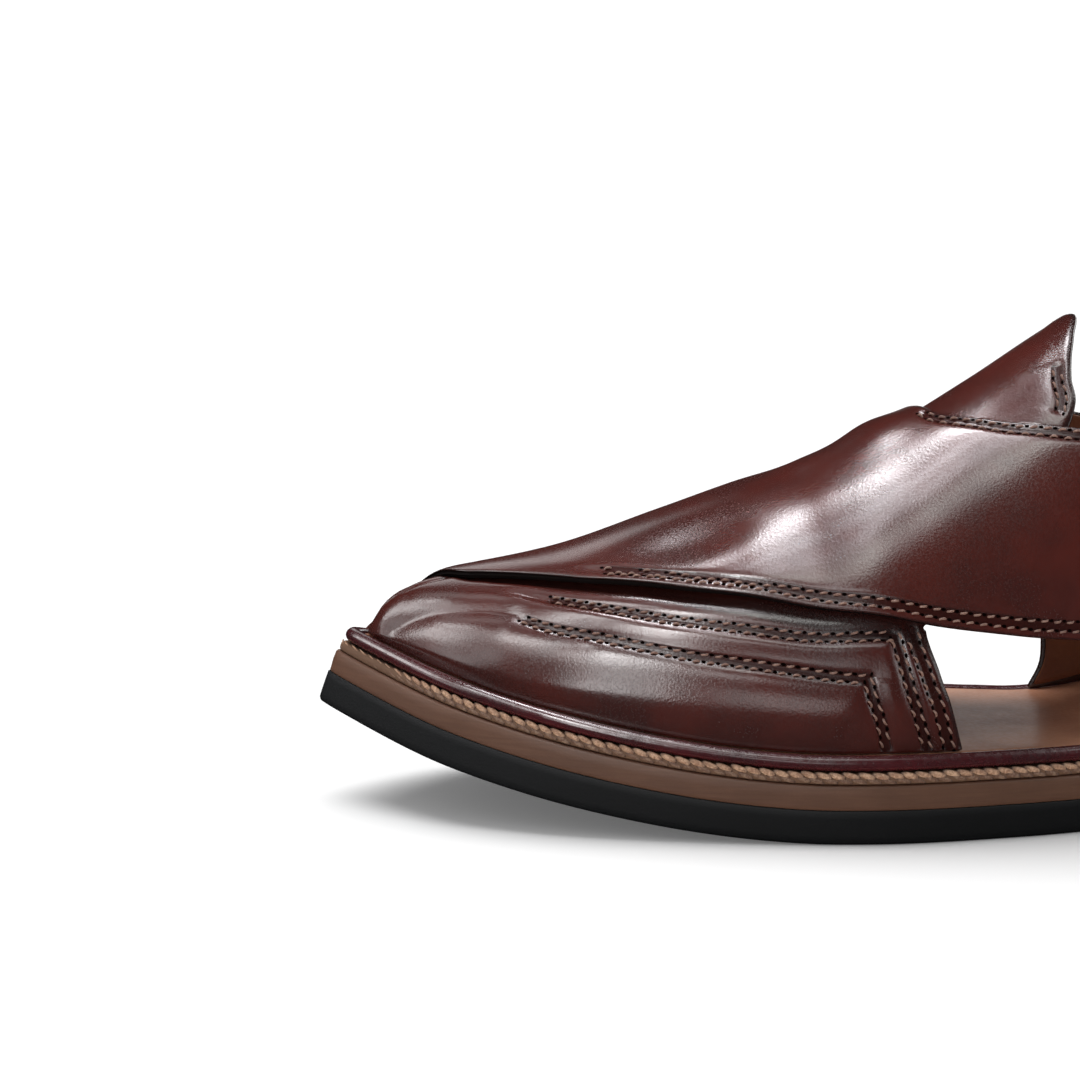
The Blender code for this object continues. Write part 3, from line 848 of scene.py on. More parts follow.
class Effects:
    """Shader node groups that several finishes share, each built once."""

    made: dict[str, NodeTree] = {}

    @classmethod
    def group(cls, name: str, inputs: dict[str, float], outputs: tuple[str, ...],
              fill: Callable[[Tree, Node], dict[str, NodeSocket]]) -> NodeTree:
        """A node group, built at its first use.

        Args:
            name: the group's name.
            inputs: names of its number inputs and their defaults.
            outputs: names of its outputs, all numbers.
            fill: adds its nodes and returns what goes to each output.

        Returns:
            The group.
        """
        if name not in cls.made:
            tree = bpy.data.node_groups.new(name, "ShaderNodeTree")
            kind = "NodeSocketFloat"
            for label, value in inputs.items():
                socket = tree.interface.new_socket(label, in_out="INPUT", socket_type=kind)
                socket.default_value = value
            for label in outputs:
                tree.interface.new_socket(label, in_out="OUTPUT", socket_type=kind)
            maker = Tree(tree)
            results = fill(maker, maker.add("NodeGroupInput"))
            maker.add("NodeGroupOutput", results)
            cls.made[name] = tree
        return cls.made[name]

    @classmethod
    def grain(cls, tree: Tree, scale: float) -> tuple[NodeSocket, NodeSocket]:
        """Fine leather grain: pores, pebbles and a sparkle in the polish.

        Args:
            tree: the material's tree.
            scale: pebbles a millimetre.

        Returns:
            The grain's height and the polish's sparkle.
        """
        def fill(inner: Tree, given: Node) -> dict[str, NodeSocket]:
            """Voronoi pebbles broken up by noise.

            Args:
                inner: the group's tree.
                given: its input node.

            Returns:
                What goes to each output.
            """
            place, size = inner.millimetres(), given.outputs["Scale"]
            pebble = inner.add("TexVoronoi", {"Vector": place, "Scale": size}, feature="SMOOTH_F1")
            fine = inner.noise(inner.math("MULTIPLY", size, 1.7), 1.0, 0.5, place)
            height = inner.math("ADD", inner.math("MULTIPLY", pebble.outputs["Distance"], 0.7),
                                inner.math("MULTIPLY", fine, 0.6))
            speck = inner.noise(inner.math("MULTIPLY", size, 1.1), 1.0, 0.5, place)
            return {"Height": height, "Sparkle": inner.span(speck, 0.32, 0.68)}

        group = cls.group("leather_grain", {"Scale": 1.5}, ("Height", "Sparkle"), fill)
        node = tree.add("Group", {"Scale": scale}, node_tree=group)
        return node.outputs["Height"], node.outputs["Sparkle"]

    @classmethod
    def clouds(cls, tree: Tree, scale: float) -> NodeSocket:
        """Slow, uneven mottling of a surface from its dye or its handling.

        Args:
            tree: the material's tree.
            scale: clouds a millimetre.

        Returns:
            The mask of the clouds.
        """
        def fill(inner: Tree, given: Node) -> dict[str, NodeSocket]:
            """One slow noise with soft borders."""
            slow = inner.noise(given.outputs["Scale"], 3.0, 0.55)
            return {"Mask": inner.span(slow, 0.3, 0.7)}

        group = cls.group("mottling", {"Scale": 0.06}, ("Mask",), fill)
        return tree.add("Group", {"Scale": scale}, node_tree=group).outputs["Mask"]

    @classmethod
    def seam_band(cls, tree: Tree, gap: float) -> tuple[NodeSocket, NodeSocket]:
        """Band of a double row of stitches, where shade is painted, and the groove that each row
        pulls.

        Args:
            tree: the material's tree.
            gap: distance between the two rows, in millimetres.

        Returns:
            The masks of the band and of the grooves.
        """
        def fill(inner: Tree, given: Node) -> dict[str, NodeSocket]:
            """Masks from the seam coordinates of the leather's points.

            Args:
                inner: the group's tree.
                given: its input node.

            Returns:
                What goes to each output.
            """
            seam = inner.attribute("seam")
            _, across, fade = inner.add("SeparateXYZ", {0: seam.outputs["Vector"]}).outputs
            half = inner.math("MULTIPLY", given.outputs["Gap"], 0.5)
            sideways = inner.math("SUBTRACT", across, half)
            band = inner.span(sideways, 0.85, 0.25)
            groove = inner.span(inner.math("ABSOLUTE", sideways), 0.8, 0.1)
            return {"Band": inner.math("MULTIPLY", band, fade),
                    "Groove": inner.math("MULTIPLY", groove, fade)}

        group = cls.group("seam_band", {"Gap": 1.5}, ("Band", "Groove"), fill)
        node = tree.add("Group", {"Gap": gap}, node_tree=group)
        return node.outputs["Band"], node.outputs["Groove"]

    @classmethod
    def edge_band_and_shade(cls, tree: Tree, width: float, ragged: float) -> NodeSocket:
        """Band along a cut edge, and along a hollow where shade is painted, with a ragged border.

        Args:
            tree: the material's tree.
            width: the band's width, in millimetres.
            ragged: how far its border wanders, in millimetres.

        Returns:
            The mask of the band.
        """
        def fill(inner: Tree, given: Node) -> dict[str, NodeSocket]:
            """Distance from the edge, broken up by noise.

            Args:
                inner: the group's tree.
                given: its input node.

            Returns:
                What goes to each output.
            """
            # A strap's 'edge' numbers also hold its distance from a hollow where shade is painted.
            edge = inner.attribute("edge")
            wander = inner.math("MULTIPLY", inner.noise(0.7, 2.0), given.outputs["Ragged"])
            reach = inner.math("ADD", edge.outputs["Fac"], wander)
            wide = inner.math("DIVIDE", reach, given.outputs["Width"])
            return {"Mask": inner.span(wide, 1.0, 0.2)}

        group = cls.group("edge_band_and_shade", {"Width": 2.0, "Ragged": 0.8}, ("Mask",), fill)
        node = tree.add("Group", {"Width": width, "Ragged": ragged}, node_tree=group)
        return node.outputs["Mask"]


Colour = tuple[float, float, float, float]
WHITE: Colour = (1.0, 1.0, 1.0, 1.0)


def new_material(name: str) -> tuple[Material, Tree, Node]:
    """A material with a plain Principled shader.

    Args:
        name: the material's name.

    Returns:
        The material, its tree and its Principled node.
    """
    material = bpy.data.materials.new(name)
    material.use_nodes = True
    return material, Tree(material.node_tree), material.node_tree.nodes["Principled BSDF"]


@dataclass(frozen=True)
class PolishedLeather:
    """Dye-coloured, burnished leather: soft shine, pores, seam grooves, dark edges, painted shade.
    """

    name: str
    body: Colour
    deep: Colour
    edge: Colour
    roughness: float = 0.34
    grain_scale: float = 1.5
    grain_depth: float = 0.09
    coat: float = 0.15
    shine: float = 0.8
    gap: float = 1.5
    marks: bool = True

    def build(self) -> Material:
        """Make the material.

        Returns:
            The finished material.
        """
        material, tree, shader = new_material(self.name)
        clouds = Effects.clouds(tree, 0.05)
        grain, sparkle = Effects.grain(tree, self.grain_scale)
        darkening = Effects.edge_band_and_shade(tree, 1.6, 0.7)
        colour = tree.mix(clouds, self.body, self.deep)
        # Darker band along cut edges, which is dye, and beside another strap's edge, which is
        # painted shade.
        colour = tree.mix(tree.math("MULTIPLY", darkening, 0.8), colour, self.edge)
        rough = tree.math("ADD", tree.math("MULTIPLY", sparkle, 0.08), self.roughness - 0.04)
        rough = tree.math("ADD", rough, tree.math("MULTIPLY", clouds, 0.05))
        normal = tree.bump(grain, self.grain_depth * 5, 0.1)
        if self.marks:
            band, groove = Effects.seam_band(tree, self.gap)
            normal = tree.bump(tree.math("MULTIPLY", groove, -0.12), 0.5, 0.8, normal)
            # Shade painted into the band between a seam's two rows.
            colour = tree.mix(tree.math("MULTIPLY", band, 0.6), colour, self.edge)
        tree.feed(shader, {"Base Color": colour, "Roughness": rough, "Normal": normal,
                           "Specular IOR Level": self.shine, "Coat Weight": self.coat,
                           "Coat Roughness": 0.16})
        return material


@dataclass(frozen=True)
class Thread:
    """Waxed twisted thread, with painted shade where it sinks in and on the welt's lower row."""

    name: str
    light: Colour
    dark: Colour
    sunk: Colour
    roughness: float = 0.45
    fibres: float = 3.2

    def build(self) -> Material:
        """Make the material.

        Returns:
            The finished material.
        """
        material, tree, shader = new_material(self.name)
        noise = tree.noise(self.fibres, 3.0, 0.7)
        slow = Effects.clouds(tree, 0.35)
        colour = tree.mix(tree.span(noise, 0.35, 0.65), self.dark, self.light)
        colour = tree.mix(tree.math("MULTIPLY", slow, 0.45), colour, self.dark)
        # Painted shade where the 'shade' numbers rise.
        colour = tree.mix(tree.attribute("shade").outputs["Fac"], colour, self.sunk)
        tree.feed(shader, {"Base Color": colour, "Normal": tree.bump(noise, 0.7, 0.15),
                           "Roughness": self.roughness})
        return material


@dataclass(frozen=True)
class HoleShade:
    """Shade inside a small hole, painted on a dull, nearly black patch."""

    name: str
    colour: Colour
    deep: Colour

    def build(self) -> Material:
        """Make the material.

        Returns:
            The finished material.
        """
        material, tree, shader = new_material(self.name)
        shade = tree.mix(tree.noise(2.0), self.colour, self.deep)
        tree.feed(shader, {"Base Color": shade, "Roughness": 1.0, "Specular IOR Level": 0.0})
        return material


@dataclass(frozen=True)
class SoleEdge:
    """Edge-finished sole layer: leather board or rubber, with faint streaks along it."""

    name: str
    body: Colour
    dark: Colour
    roughness: float
    streak: float = 0.35
    speck: float = 0.25
    coat: float = 0.0
    shine: float = 0.2

    def build(self) -> Material:
        """Make the material.

        Returns:
            The finished material.
        """
        material, tree, shader = new_material(self.name)
        along = tree.noise(0.8, 4.0, 0.6, tree.millimetres((0.12, 0.12, 2.2)))
        fine = tree.noise(2.6, 3.0, 0.7)
        colour = self.body
        for pattern, amount in ((along, self.streak * 2), (fine, self.speck),
                                (Effects.clouds(tree, 0.045), 0.35)):
            colour = tree.mix(tree.math("MULTIPLY", pattern, amount, True), colour, self.dark)
        rough = tree.math("ADD", self.roughness - 0.06, tree.math("MULTIPLY", fine, 0.12))
        height = tree.math("ADD", tree.math("MULTIPLY", along, 0.5), fine)
        tree.feed(shader, {"Base Color": colour, "Roughness": rough,
                           "Normal": tree.bump(height, 0.35, 0.12),
                           "Specular IOR Level": self.shine, "Coat Weight": self.coat,
                           "Coat Roughness": 0.3})
        return material


@dataclass(frozen=True)
class Brass:
    """Satin brass with patchy tarnish and fine handling marks."""

    name: str
    bright: Colour
    tarnish: Colour

    def build(self) -> Material:
        """Make the material.

        Returns:
            The finished material.
        """
        material, tree, shader = new_material(self.name)
        scratches = tree.noise(1.2, 4.0, 0.7, tree.millimetres((6.0, 0.7, 6.0)))
        darkening = tree.math("MULTIPLY", Effects.clouds(tree, 0.5), 0.6)
        rough = tree.math("ADD", 0.2, tree.math("MULTIPLY", scratches, 0.25))
        tree.feed(shader, {"Base Color": tree.mix(darkening, self.bright, self.tarnish),
                           "Roughness": rough, "Normal": tree.bump(scratches, 0.25, 0.05),
                           "Metallic": 1.0})
        return material


UPPER_LEATHER = PolishedLeather("upper_leather", (0.102, 0.0170, 0.0118, 1),
                                (0.064, 0.0108, 0.0076, 1), (0.018, 0.0050, 0.0042, 1),
                                roughness=0.20, grain_scale=1.9, grain_depth=0.055, coat=0.1)
SEAM_LEATHER = replace(UPPER_LEATHER, name="seam_leather", shine=0.35, coat=0.0)
HEEL_LEATHER = PolishedLeather("heel_strap_leather", UPPER_LEATHER.body, UPPER_LEATHER.deep,
                               UPPER_LEATHER.edge, gap=0.0)
LINING_LEATHER = PolishedLeather("lining_leather", (0.62, 0.23, 0.060, 1), (0.42, 0.14, 0.036, 1),
                                 (0.12, 0.035, 0.016, 1), roughness=0.55, grain_scale=1.1,
                                 grain_depth=0.14, coat=0.0, shine=0.3, marks=False)
PIPING_LEATHER = PolishedLeather("piping_leather", (0.088, 0.009, 0.013, 1),
                                 (0.055, 0.007, 0.010, 1), (0.04, 0.007, 0.007, 1),
                                 roughness=0.22, grain_scale=0.7, grain_depth=0.03, coat=0.4,
                                 marks=False)
SOCK_LEATHER = PolishedLeather("sock_leather", (0.60, 0.29, 0.175, 1), (0.42, 0.19, 0.115, 1),
                               (0.60, 0.20, 0.080, 1), roughness=0.36, grain_scale=0.9,
                               grain_depth=0.10, coat=0.1, shine=0.35, marks=False)
STITCH_THREAD = Thread("stitch_thread", (0.44, 0.255, 0.19, 1), (0.21, 0.10, 0.072, 1),
                       (0.03, 0.012, 0.008, 1))
WELT_TWINE = Thread("welt_twine", (0.76, 0.48, 0.30, 1), (0.34, 0.16, 0.085, 1),
                    (0.050, 0.015, 0.008, 1), 0.75, 1.6)
# Near-black patches that paint the shade inside needle holes.
PRICK_SHADE = HoleShade("needle_prick_shade", (0.006, 0.002, 0.0015, 1), (0.001, 0.0006, 0.0005, 1))
# Near-black dye on a cut edge; on the over strap's front edge it also paints the gap's shade.
EDGE_DYE_AND_SHADE = SoleEdge("edge_dye_and_shade", (0.010, 0.0035, 0.0028, 1), (0.006, 0.0022, 0.0018, 1), 0.7,
                    shine=0.1)
WELT_LEATHER = SoleEdge("welt_leather", (0.26, 0.145, 0.085, 1), (0.12, 0.06, 0.036, 1), 0.7)
MIDSOLE_BOARD = SoleEdge("midsole_board", (0.220, 0.102, 0.058, 1), (0.095, 0.042, 0.024, 1), 0.45,
                         0.4, 0.3, 0.05, 0.25)
SOLE_RUBBER = SoleEdge("sole_rubber", (0.0085, 0.0092, 0.0110, 1), (0.005, 0.0055, 0.0062, 1), 0.62,
                       0.2, 0.5)
BUCKLE_BRASS = Brass("buckle_brass", (0.72, 0.52, 0.27, 1), (0.34, 0.21, 0.09, 1))


def dress(piece: Object, material: Material, slot: Slot, replaces: tuple[str, ...] = ()) -> Object:
    """Give a piece its material and tie it to the frame.

    Args:
        piece: the finished piece.
        material: its material.
        slot: the record's material slot that it stands for; not used.
        replaces: CAD nodes that it stands for.

    Returns:
        The piece.
    """
    piece.data.materials.clear()
    piece.data.materials.append(material)
    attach(piece, "root")
    if replaces:
        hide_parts(*replaces)
    LOG.info("%s: %d faces", piece.name, len(piece.data.polygons))
    return piece


# ---- sole ----
Relief = Callable[[Array, Array], Array]


@dataclass
class Layer:
    """Flat layer of the sole between two heights, with rounded edges.

    `profile` lists (inset, height) pairs up its side, from the underside to the top, both in
    millimetres from the layer's own outline and base.
    """

    name: str
    inset: float
    base: float
    profile: tuple[tuple[float, float], ...]
    stations: int = 220
    across: int = 24
    under: Relief | None = None
    top: Relief | None = None
    first_s: float | None = None

    def build(self) -> Object:
        """Make the layer's mesh.

        Returns:
            The closed layer.
        """
        if self.first_s is None:
            share = (1.0 - np.cos(np.linspace(0.0, np.pi, self.stations))) / 2
        else:
            share = np.sin(np.linspace(0.0, np.pi / 2, self.stations))
        sections = []
        for inset, height in self.profile:
            total = self.inset + inset
            front = total if self.first_s is None else self.first_s
            s = front + (SOLE.length - total - front) * share
            outer = SOLE.half_width(s, True, total)
            inner = -SOLE.half_width(s, False, total)
            sections.append((s, outer, inner, np.full_like(s, self.base + height)))
        low, high = sections[0], sections[-1]
        ways = np.linspace(0.0, 1.0, self.across + 1)[1:-1]
        columns = [(s, outer, n) for s, outer, _, n in sections]
        columns += [self._between(high, way, self.top) for way in ways]
        columns += [(s, inner, n) for s, _, inner, n in reversed(sections)]
        columns += [self._between(low, way, self.under) for way in ways[::-1]]
        s, x, n = (np.stack(part, axis=1) for part in zip(*columns))
        skin = Skin()
        index = skin.add_points(SOLE.spring(x, s, n), edge=self._edge_distance(s, x))
        skin.add_grid(index, closed=True)
        if self.first_s is not None:
            self._front_face(skin, index[0])
        return skin.build(self.name, weld=0.02)

    def _between(self, section: tuple, way: float, relief: Relief | None) -> tuple:
        """Column of points between the layer's two sides.

        Args:
            section: s, outer x, inner x and n of the layer at one height.
            way: share of the way from the outer to the inner side.
            relief: what is added to n there.

        Returns:
            s, x and n of the column.
        """
        s, outer, inner, n = section
        x = outer + (inner - outer) * way
        return s, x, n if relief is None else n + relief(s, x)

    def _front_face(self, skin: Skin, ring: Array) -> None:
        """Close the straight front of a layer that starts behind the toe.

        Args:
            skin: the layer's mesh.
            ring: indices round its front section, up the outer side and down the inner one.
        """
        levels = len(self.profile)
        foot = 2 * levels + self.across - 2
        top = ring[levels - 1:levels + self.across]
        bottom = np.concatenate([[ring[0]], ring[foot + 1:][::-1], [ring[foot]]])
        rows = [top]
        for level in range(levels - 2, 0, -1):
            rows.append(np.array([ring[level]] + [-1] * (self.across - 1) + [ring[foot - level]]))
        points = np.concatenate(skin.points)
        for row in rows[1:]:
            ways = np.linspace(0.0, 1.0, self.across + 1)[1:-1, None]
            row[1:-1] = skin.add_points(points[row[0]] * (1 - ways) + points[row[-1]] * ways,
                                        edge=np.zeros(self.across - 1))
        skin.add_grid(np.stack(rows + [bottom]))

    def _edge_distance(self, s: Array, x: Array) -> Array:
        """Distance of points in from the layer's outline."""
        return np.clip(SOLE.width_at(s, x, self.inset) - np.abs(x), 0.0, FAR)


@dataclass
class SoleStack:
    """Outsole, heel lift, midsole, overcast welt, piping and insole, from the ground up."""

    midsole_base: float = 7.5
    welt_base: float = 12.6
    bed: float = 15.0
    heel_gap: float = 0.3
    piping_inset: float = 2.75
    piping_radius: float = 1.72
    heel_breast: float = 216.0
    breast_hollow: float = 3.0
    tread_pitch: float = 5.2
    tread_depth: float = 0.7
    tread_inset: float = 6.0
    tread_lean: float = 0.35
    forefoot: tuple[float, float] = (16.0, 150.0)
    heel_front: float = 222.0
    dents: tuple[Dent, ...] = (Dent(96, 4, 34, 24, 0.75), Dent(252, 1, 24, 18, 0.85))
    twine_pitch: float = 3.05
    twine_inset: float = 0.5
    twine_sunk: float = 0.38
    twine_wander: tuple[float, float, float] = (0.1, 0.07, 0.05)
    twine_seed: int = 7
    piping_seed: int = 3
    strands: tuple[Strand, ...] = (Strand(14.45, 0.42, 0.66, 3.7, 0.4, 0.0, 0.0),
                                   Strand(13.45, 0.45, 0.50, 3.3, 0.0, 0.5, 0.6))

    def tread(self, s: Array, x: Array) -> Array:
        """Depth of the shallow chevron ribs cut into the forefoot and the heel's underside.

        Args:
            s: places along the shoe.
            x: places across it.

        Returns:
            The depths in millimetres.
        """
        wave = (s + self.tread_lean * np.abs(x - 3.0)) / self.tread_pitch
        rib = ease((np.abs((wave % 1.0) - 0.5) * 2 - 0.55) / 0.25)
        inside = ease((SOLE.width_at(s, x, self.tread_inset) - np.abs(x)) / 1.5)
        front, back = self.forefoot
        stretch = ease((s - front) / 3) * ease((back - s) / 3) + ease((s - self.heel_front) / 3)
        return rib * inside * stretch * self.tread_depth

    def footbed(self, s: Array, x: Array) -> Array:
        """Slight hollows pressed into the insole by ball and heel.

        Args:
            s: places along the shoe.
            x: places across it.

        Returns:
            Their heights, below 0.
        """
        return sum(-d.depth * np.exp(-((s - d.s) / d.reach_s)**2 - ((x - d.x) / d.reach_x)**2)
                   for d in self.dents)

    def build(self) -> list[Object]:
        """Make and dress all the layers.

        Returns:
            The pieces, from the ground up.
        """
        rubber = SOLE_RUBBER.build()
        pieces = [self._outsole(rubber), self._heel(rubber)]
        board = Layer("midsole_board", 0.3, self.midsole_base,
                      ((0.2, -0.2), (0.0, 0.0), (0.0, 0.8), (-0.1, 2.6), (0.0, 4.4), (0.25, 4.8),
                       (0.8, 5.0))).build()
        pieces.append(dress(board, MIDSOLE_BOARD.build(), Slot.MIDSOLE, ("midsole",)))
        strip = Layer("welt_strip", 0.75, self.welt_base,
                      ((0.5, 0.0), (0.1, 0.3), (0.0, 1.0), (0.1, 1.75), (0.6, 2.1))).build()
        pieces.append(dress(strip, WELT_LEATHER.build(), Slot.WELT, ("welt",)))
        pieces.append(dress(self._twine(), WELT_TWINE.build(), Slot.WELT))
        pieces.append(dress(self._piping(), PIPING_LEATHER.build(), Slot.PIPING, ("piping",)))
        sock = Layer("sock_lining", 4.6, self.bed,
                     ((0.5, 0.0), (0.1, 0.4), (0.0, 1.2), (0.1, 2.1), (0.5, 2.65), (1.2, 2.88),
                      (2.2, 2.9)), 260, 60, None, self.footbed).build()
        pieces.append(dress(sock, SOCK_LEATHER.build(), Slot.INSOLE, ("insole",)))
        return pieces

    def _outsole(self, rubber: Material) -> Object:
        """Rubber outsole with a ribbed underside.

        Args:
            rubber: its material.

        Returns:
            The piece.
        """
        profile = ((1.1, 0.0), (0.4, 0.2), (0.05, 0.8), (0.0, 2.0), (0.0, 5.6), (0.05, 7.0),
                   (0.3, 7.25))
        piece = Layer("outsole_rubber", 0.0, 0.0, profile, 420, 64, self.tread).build()
        return dress(piece, rubber, Slot.RUBBER, ("outsole",))

    def _heel(self, rubber: Material) -> Object:
        """Rubber lift under the heel, on the ground and square at its front.

        Args:
            rubber: its material.

        Returns:
            The piece.
        """
        top = SOLE.heel_rise - self.heel_gap
        profile = ((1.2, 0.0), (0.5, 0.25), (0.4, 1.0), (0.4, top - 0.8), (0.6, top - 0.2),
                   (1.1, top))
        piece = Layer("heel_rubber", 0.0, 0.0, profile, 120, 40, self.tread, None,
                      self.heel_breast).build()
        for vertex in piece.data.vertices:
            s = vertex.co.y / MM + SOLE.length / 2
            reach = min(max(1.0 - (s - self.heel_breast) / 12.0, 0.0), 1.0)
            across = (vertex.co.x / MM + SOLE.middle_x) / 33.0
            vertex.co.y += self.breast_hollow * max(1.0 - across * across, 0.0) * reach * MM
            vertex.co.z -= float(SOLE.rise(s)) * MM
        return dress(piece, rubber, Slot.RUBBER, ("heel",))

    def _twine(self) -> Object:
        """Rope of slanting strands, two high, sewn along the welt's edge all the way round.

        Returns:
            The piece.
        """
        path_s, path_x = SOLE.loop(self.twine_inset, 4000)
        length = arc_length(np.stack([path_x, path_s, path_s * 0], axis=1))
        count = int(round(length[-1] / self.twine_pitch))
        steps = np.linspace(0.0, 1.0, 11)
        skin = Skin()
        uneven = np.random.default_rng(self.twine_seed).normal(0.0, 1.0, (2, count, 3))
        for row, strand in enumerate(self.strands):
            fat = strand.thick * (0.42 + 0.58 * np.sin(np.pi * steps)**0.6)
            # Painted shade: darker towards each strand's ends, where it dives in, and on the lower
            # row.
            shade = strand.shade + (0.9 - strand.shade) * np.abs(2.0 * steps - 1.0)**3
            for k in range(count):
                along, lift, size = uneven[row, k] * self.twine_wander
                middle = (k + strand.phase) / count * length[-1] + along
                places = np.clip(middle + (steps - 0.5) * strand.run, 0.0, length[-1])
                s = np.interp(places, length, path_s)
                x = np.interp(places, length, path_x)
                run = unit(np.stack([np.gradient(x), np.gradient(s)], axis=1) + 1e-9)
                deep = self.twine_sunk + strand.lean * (1.0 - steps)
                inward = np.stack([-run[:, 1], run[:, 0]], axis=1) * deep[:, None]
                level = strand.level + strand.drop * (0.5 - steps) * 2.0 + lift
                centre = SOLE.spring(x + inward[:, 0], s + inward[:, 1], level)
                ahead = unit(np.gradient(centre, axis=0))
                out = np.stack([run[:, 1], -run[:, 0], run[:, 0] * 0], axis=1)
                outward = unit(out - ahead * np.einsum("ij,ij->i", out, ahead)[:, None])
                side = unit(np.cross(outward, ahead))
                sunk = 0.35 + 0.65 * float(ease((s.mean() - 10.0) / 14.0))
                wide = fat * (1 + size) * sunk
                tube(skin, centre, side, outward, wide, wide * 0.85, 8, shade=shade)
        return skin.build("welt_twine")

    def _piping(self) -> Object:
        """Rolled leather binding, a ring of slightly uneven section.

        Returns:
            The piece.
        """
        count, sides = 900, 18
        s, x = SOLE.loop(self.piping_inset, count)
        centre = SOLE.spring(x, s, np.full_like(s, self.bed + self.piping_radius))
        ahead = unit(np.roll(centre, -1, axis=0) - np.roll(centre, 1, axis=0))
        side = unit(np.cross(ahead, UP))
        up = unit(np.cross(side, ahead))
        uneven = np.random.default_rng(self.piping_seed).normal(0.0, 1.0, count)
        ripple = np.convolve(uneven, np.ones(4) / 4, mode="same")
        radius = self.piping_radius * (1.0 + 0.012 * ripple)
        skin = Skin()
        tube(skin, centre, side, up, radius, radius * 0.96, sides, closed=True,
             edge=np.full(count, FAR))
        return skin.build("piping_roll", weld=0.01)


# ---- upper ----
LEATHER = 2.0  # thickness of a strap with its lining, millimetres


@dataclass
class Strap:
    """One strap of the upper: outer leather and lining, cut to a pattern on the last.

    `inner_lift` and `outer_lift` give the heights of the strap's two faces off the last, and
    `shadow` the distance from a hollow beside another strap, where shade is painted in the
    darker edge colour.  The front edge's rim is near black up to `dye_and_shade_to`, a dye that
    also paints the shade of the gap under it, and the leather within `seam_reach` of a seam's
    middle has the seam's finish.
    """

    name: str
    pattern: tuple[Line, ...]
    rows: int
    columns: Array
    inner_lift: Callable[[Array, Array], Array]
    outer_lift: Callable[["Strap", Array, Array, Array], Array]
    shadow: Callable[[Array, Array], Array] | None = None
    seams: list[Seam] = field(default_factory=list)
    lining: float = 0.75
    lining_gap: float = 0.03
    lining_step: int = 3
    bulge: float = 0.55
    lining_bulge: float = 0.25
    dye_and_shade_to: float = 0.0
    seam_reach: float = 1.15

    def places(self, rows: int, shares: Array) -> tuple[Array, Array]:
        """(s, t) of a grid over the strap.

        Args:
            rows: number of steps across the pattern's lines.
            shares: places along each line, 0 at the front edge and 1 at the back edge.

        Returns:
            s and t, each of shape (rows + 1, len(shares)).
        """
        keys = np.arange(len(self.pattern), dtype=float)
        place = np.linspace(0.0, keys[-1], rows + 1)
        front_s, front_t, back_s, back_t = (
            Curve(keys, column).at(place)[:, None] for column in zip(*self.pattern))
        s = front_s + (back_s - front_s) * shares[None]
        t = np.clip(front_t + (back_t - front_t) * shares[None], -1.0, 1.0)
        return s, t

    def border(self, share: float, lift: float) -> Array:
        """Line along the strap's front edge (share 0) or back edge (share 1)."""
        s, t = self.places(600, np.array([share]))
        return resample((LAST.surface(s, t) + lift * LAST.normal(s, t))[:, 0], 0.5)

    def build(self, leather: Material, lining: Material, replaces: tuple[str, ...]) -> list[Object]:
        """Make and dress the leather and its lining.

        Args:
            leather: finish of the outer face and the edges.
            lining: finish of the inner face.
            replaces: CAD nodes that the leather stands for.

        Returns:
            The two pieces.
        """
        s, t = self.places(self.rows, self.columns)
        last, normal = LAST.surface(s, t), LAST.normal(s, t)

        def lifted(height: Array) -> Array:
            """Grid at some height off the last."""
            return last + normal * height[..., None]

        inner = self.inner_lift(s, t)
        flat = lifted(inner + LEATHER)
        edge = self._edge_distance(flat)
        outer = self.outer_lift(self, s, t, edge)
        seam, press = self._seam_marks(flat, normal)
        skin = Skin()
        # Painted shade: the hollow beside another strap takes the darker edge colour.
        darkening = edge if self.shadow is None else np.minimum(edge, self.shadow(s, t))
        dye_and_shade = s[:, 0] < self.dye_and_shade_to
        self._shell(skin, lifted(outer - press), lifted(inner + self.lining + self.lining_gap),
                    seam, darkening, dye_and_shade, self.bulge)
        piece = skin.build(self.name + "_leather", weld=0.01)
        dress(piece, leather, Slot.UPPER, replaces)
        self._part_finishes(piece)
        step = self.lining_step
        rows = np.arange(0, self.rows + 1, step)
        pick = np.ix_(rows, np.arange(step, len(self.columns) - step + 1, step))
        back = Skin()
        face = lifted(inner + self.lining)[pick]
        self._shell(back, face, lifted(inner)[pick], np.zeros(face.shape), edge[pick], dye_and_shade[rows],
                    self.lining_bulge)
        lined = back.build(self.name + "_lining", weld=0.01)
        dress(lined, lining, Slot.UPPER)
        self._part_finishes(lined)
        return [piece, lined]

    def _part_finishes(self, piece: Object) -> None:
        """Give the cut front edge its near-black dye, which also paints the gap's shade under it,
        and the leather between two rows a duller shine.

        Args:
            piece: the leather or the lining.
        """
        mesh = piece.data
        mesh.materials.append(EDGE_DYE_AND_SHADE.build())
        mesh.materials.append(SEAM_LEATHER.build())
        rim, seam = np.zeros(len(mesh.vertices)), np.zeros(len(mesh.vertices) * 3)
        mesh.attributes["rim"].data.foreach_get("value", rim)
        mesh.attributes["seam"].data.foreach_get("vector", seam)
        seam = seam.reshape(-1, 3)
        between = (seam[:, 1] < self.seam_reach) & (seam[:, 2] > 0.5)
        for face in mesh.polygons:
            corners = list(face.vertices)
            if rim[corners].mean() >= 0.5:
                face.material_index = 1
            elif between[corners].mean() > 0.5:
                face.material_index = 2

    def _edge_distance(self, points: Array) -> Array:
        """Distance of grid points from the nearer of the strap's front and back edges.

        Args:
            points: the grid, shape (rows, columns, 3).

        Returns:
            The distances.
        """
        steps = np.linalg.norm(np.diff(points, axis=1), axis=-1)
        run = np.concatenate([np.zeros((len(points), 1)), np.cumsum(steps, axis=1)], axis=1)
        return np.minimum(run, run[:, -1:] - run)

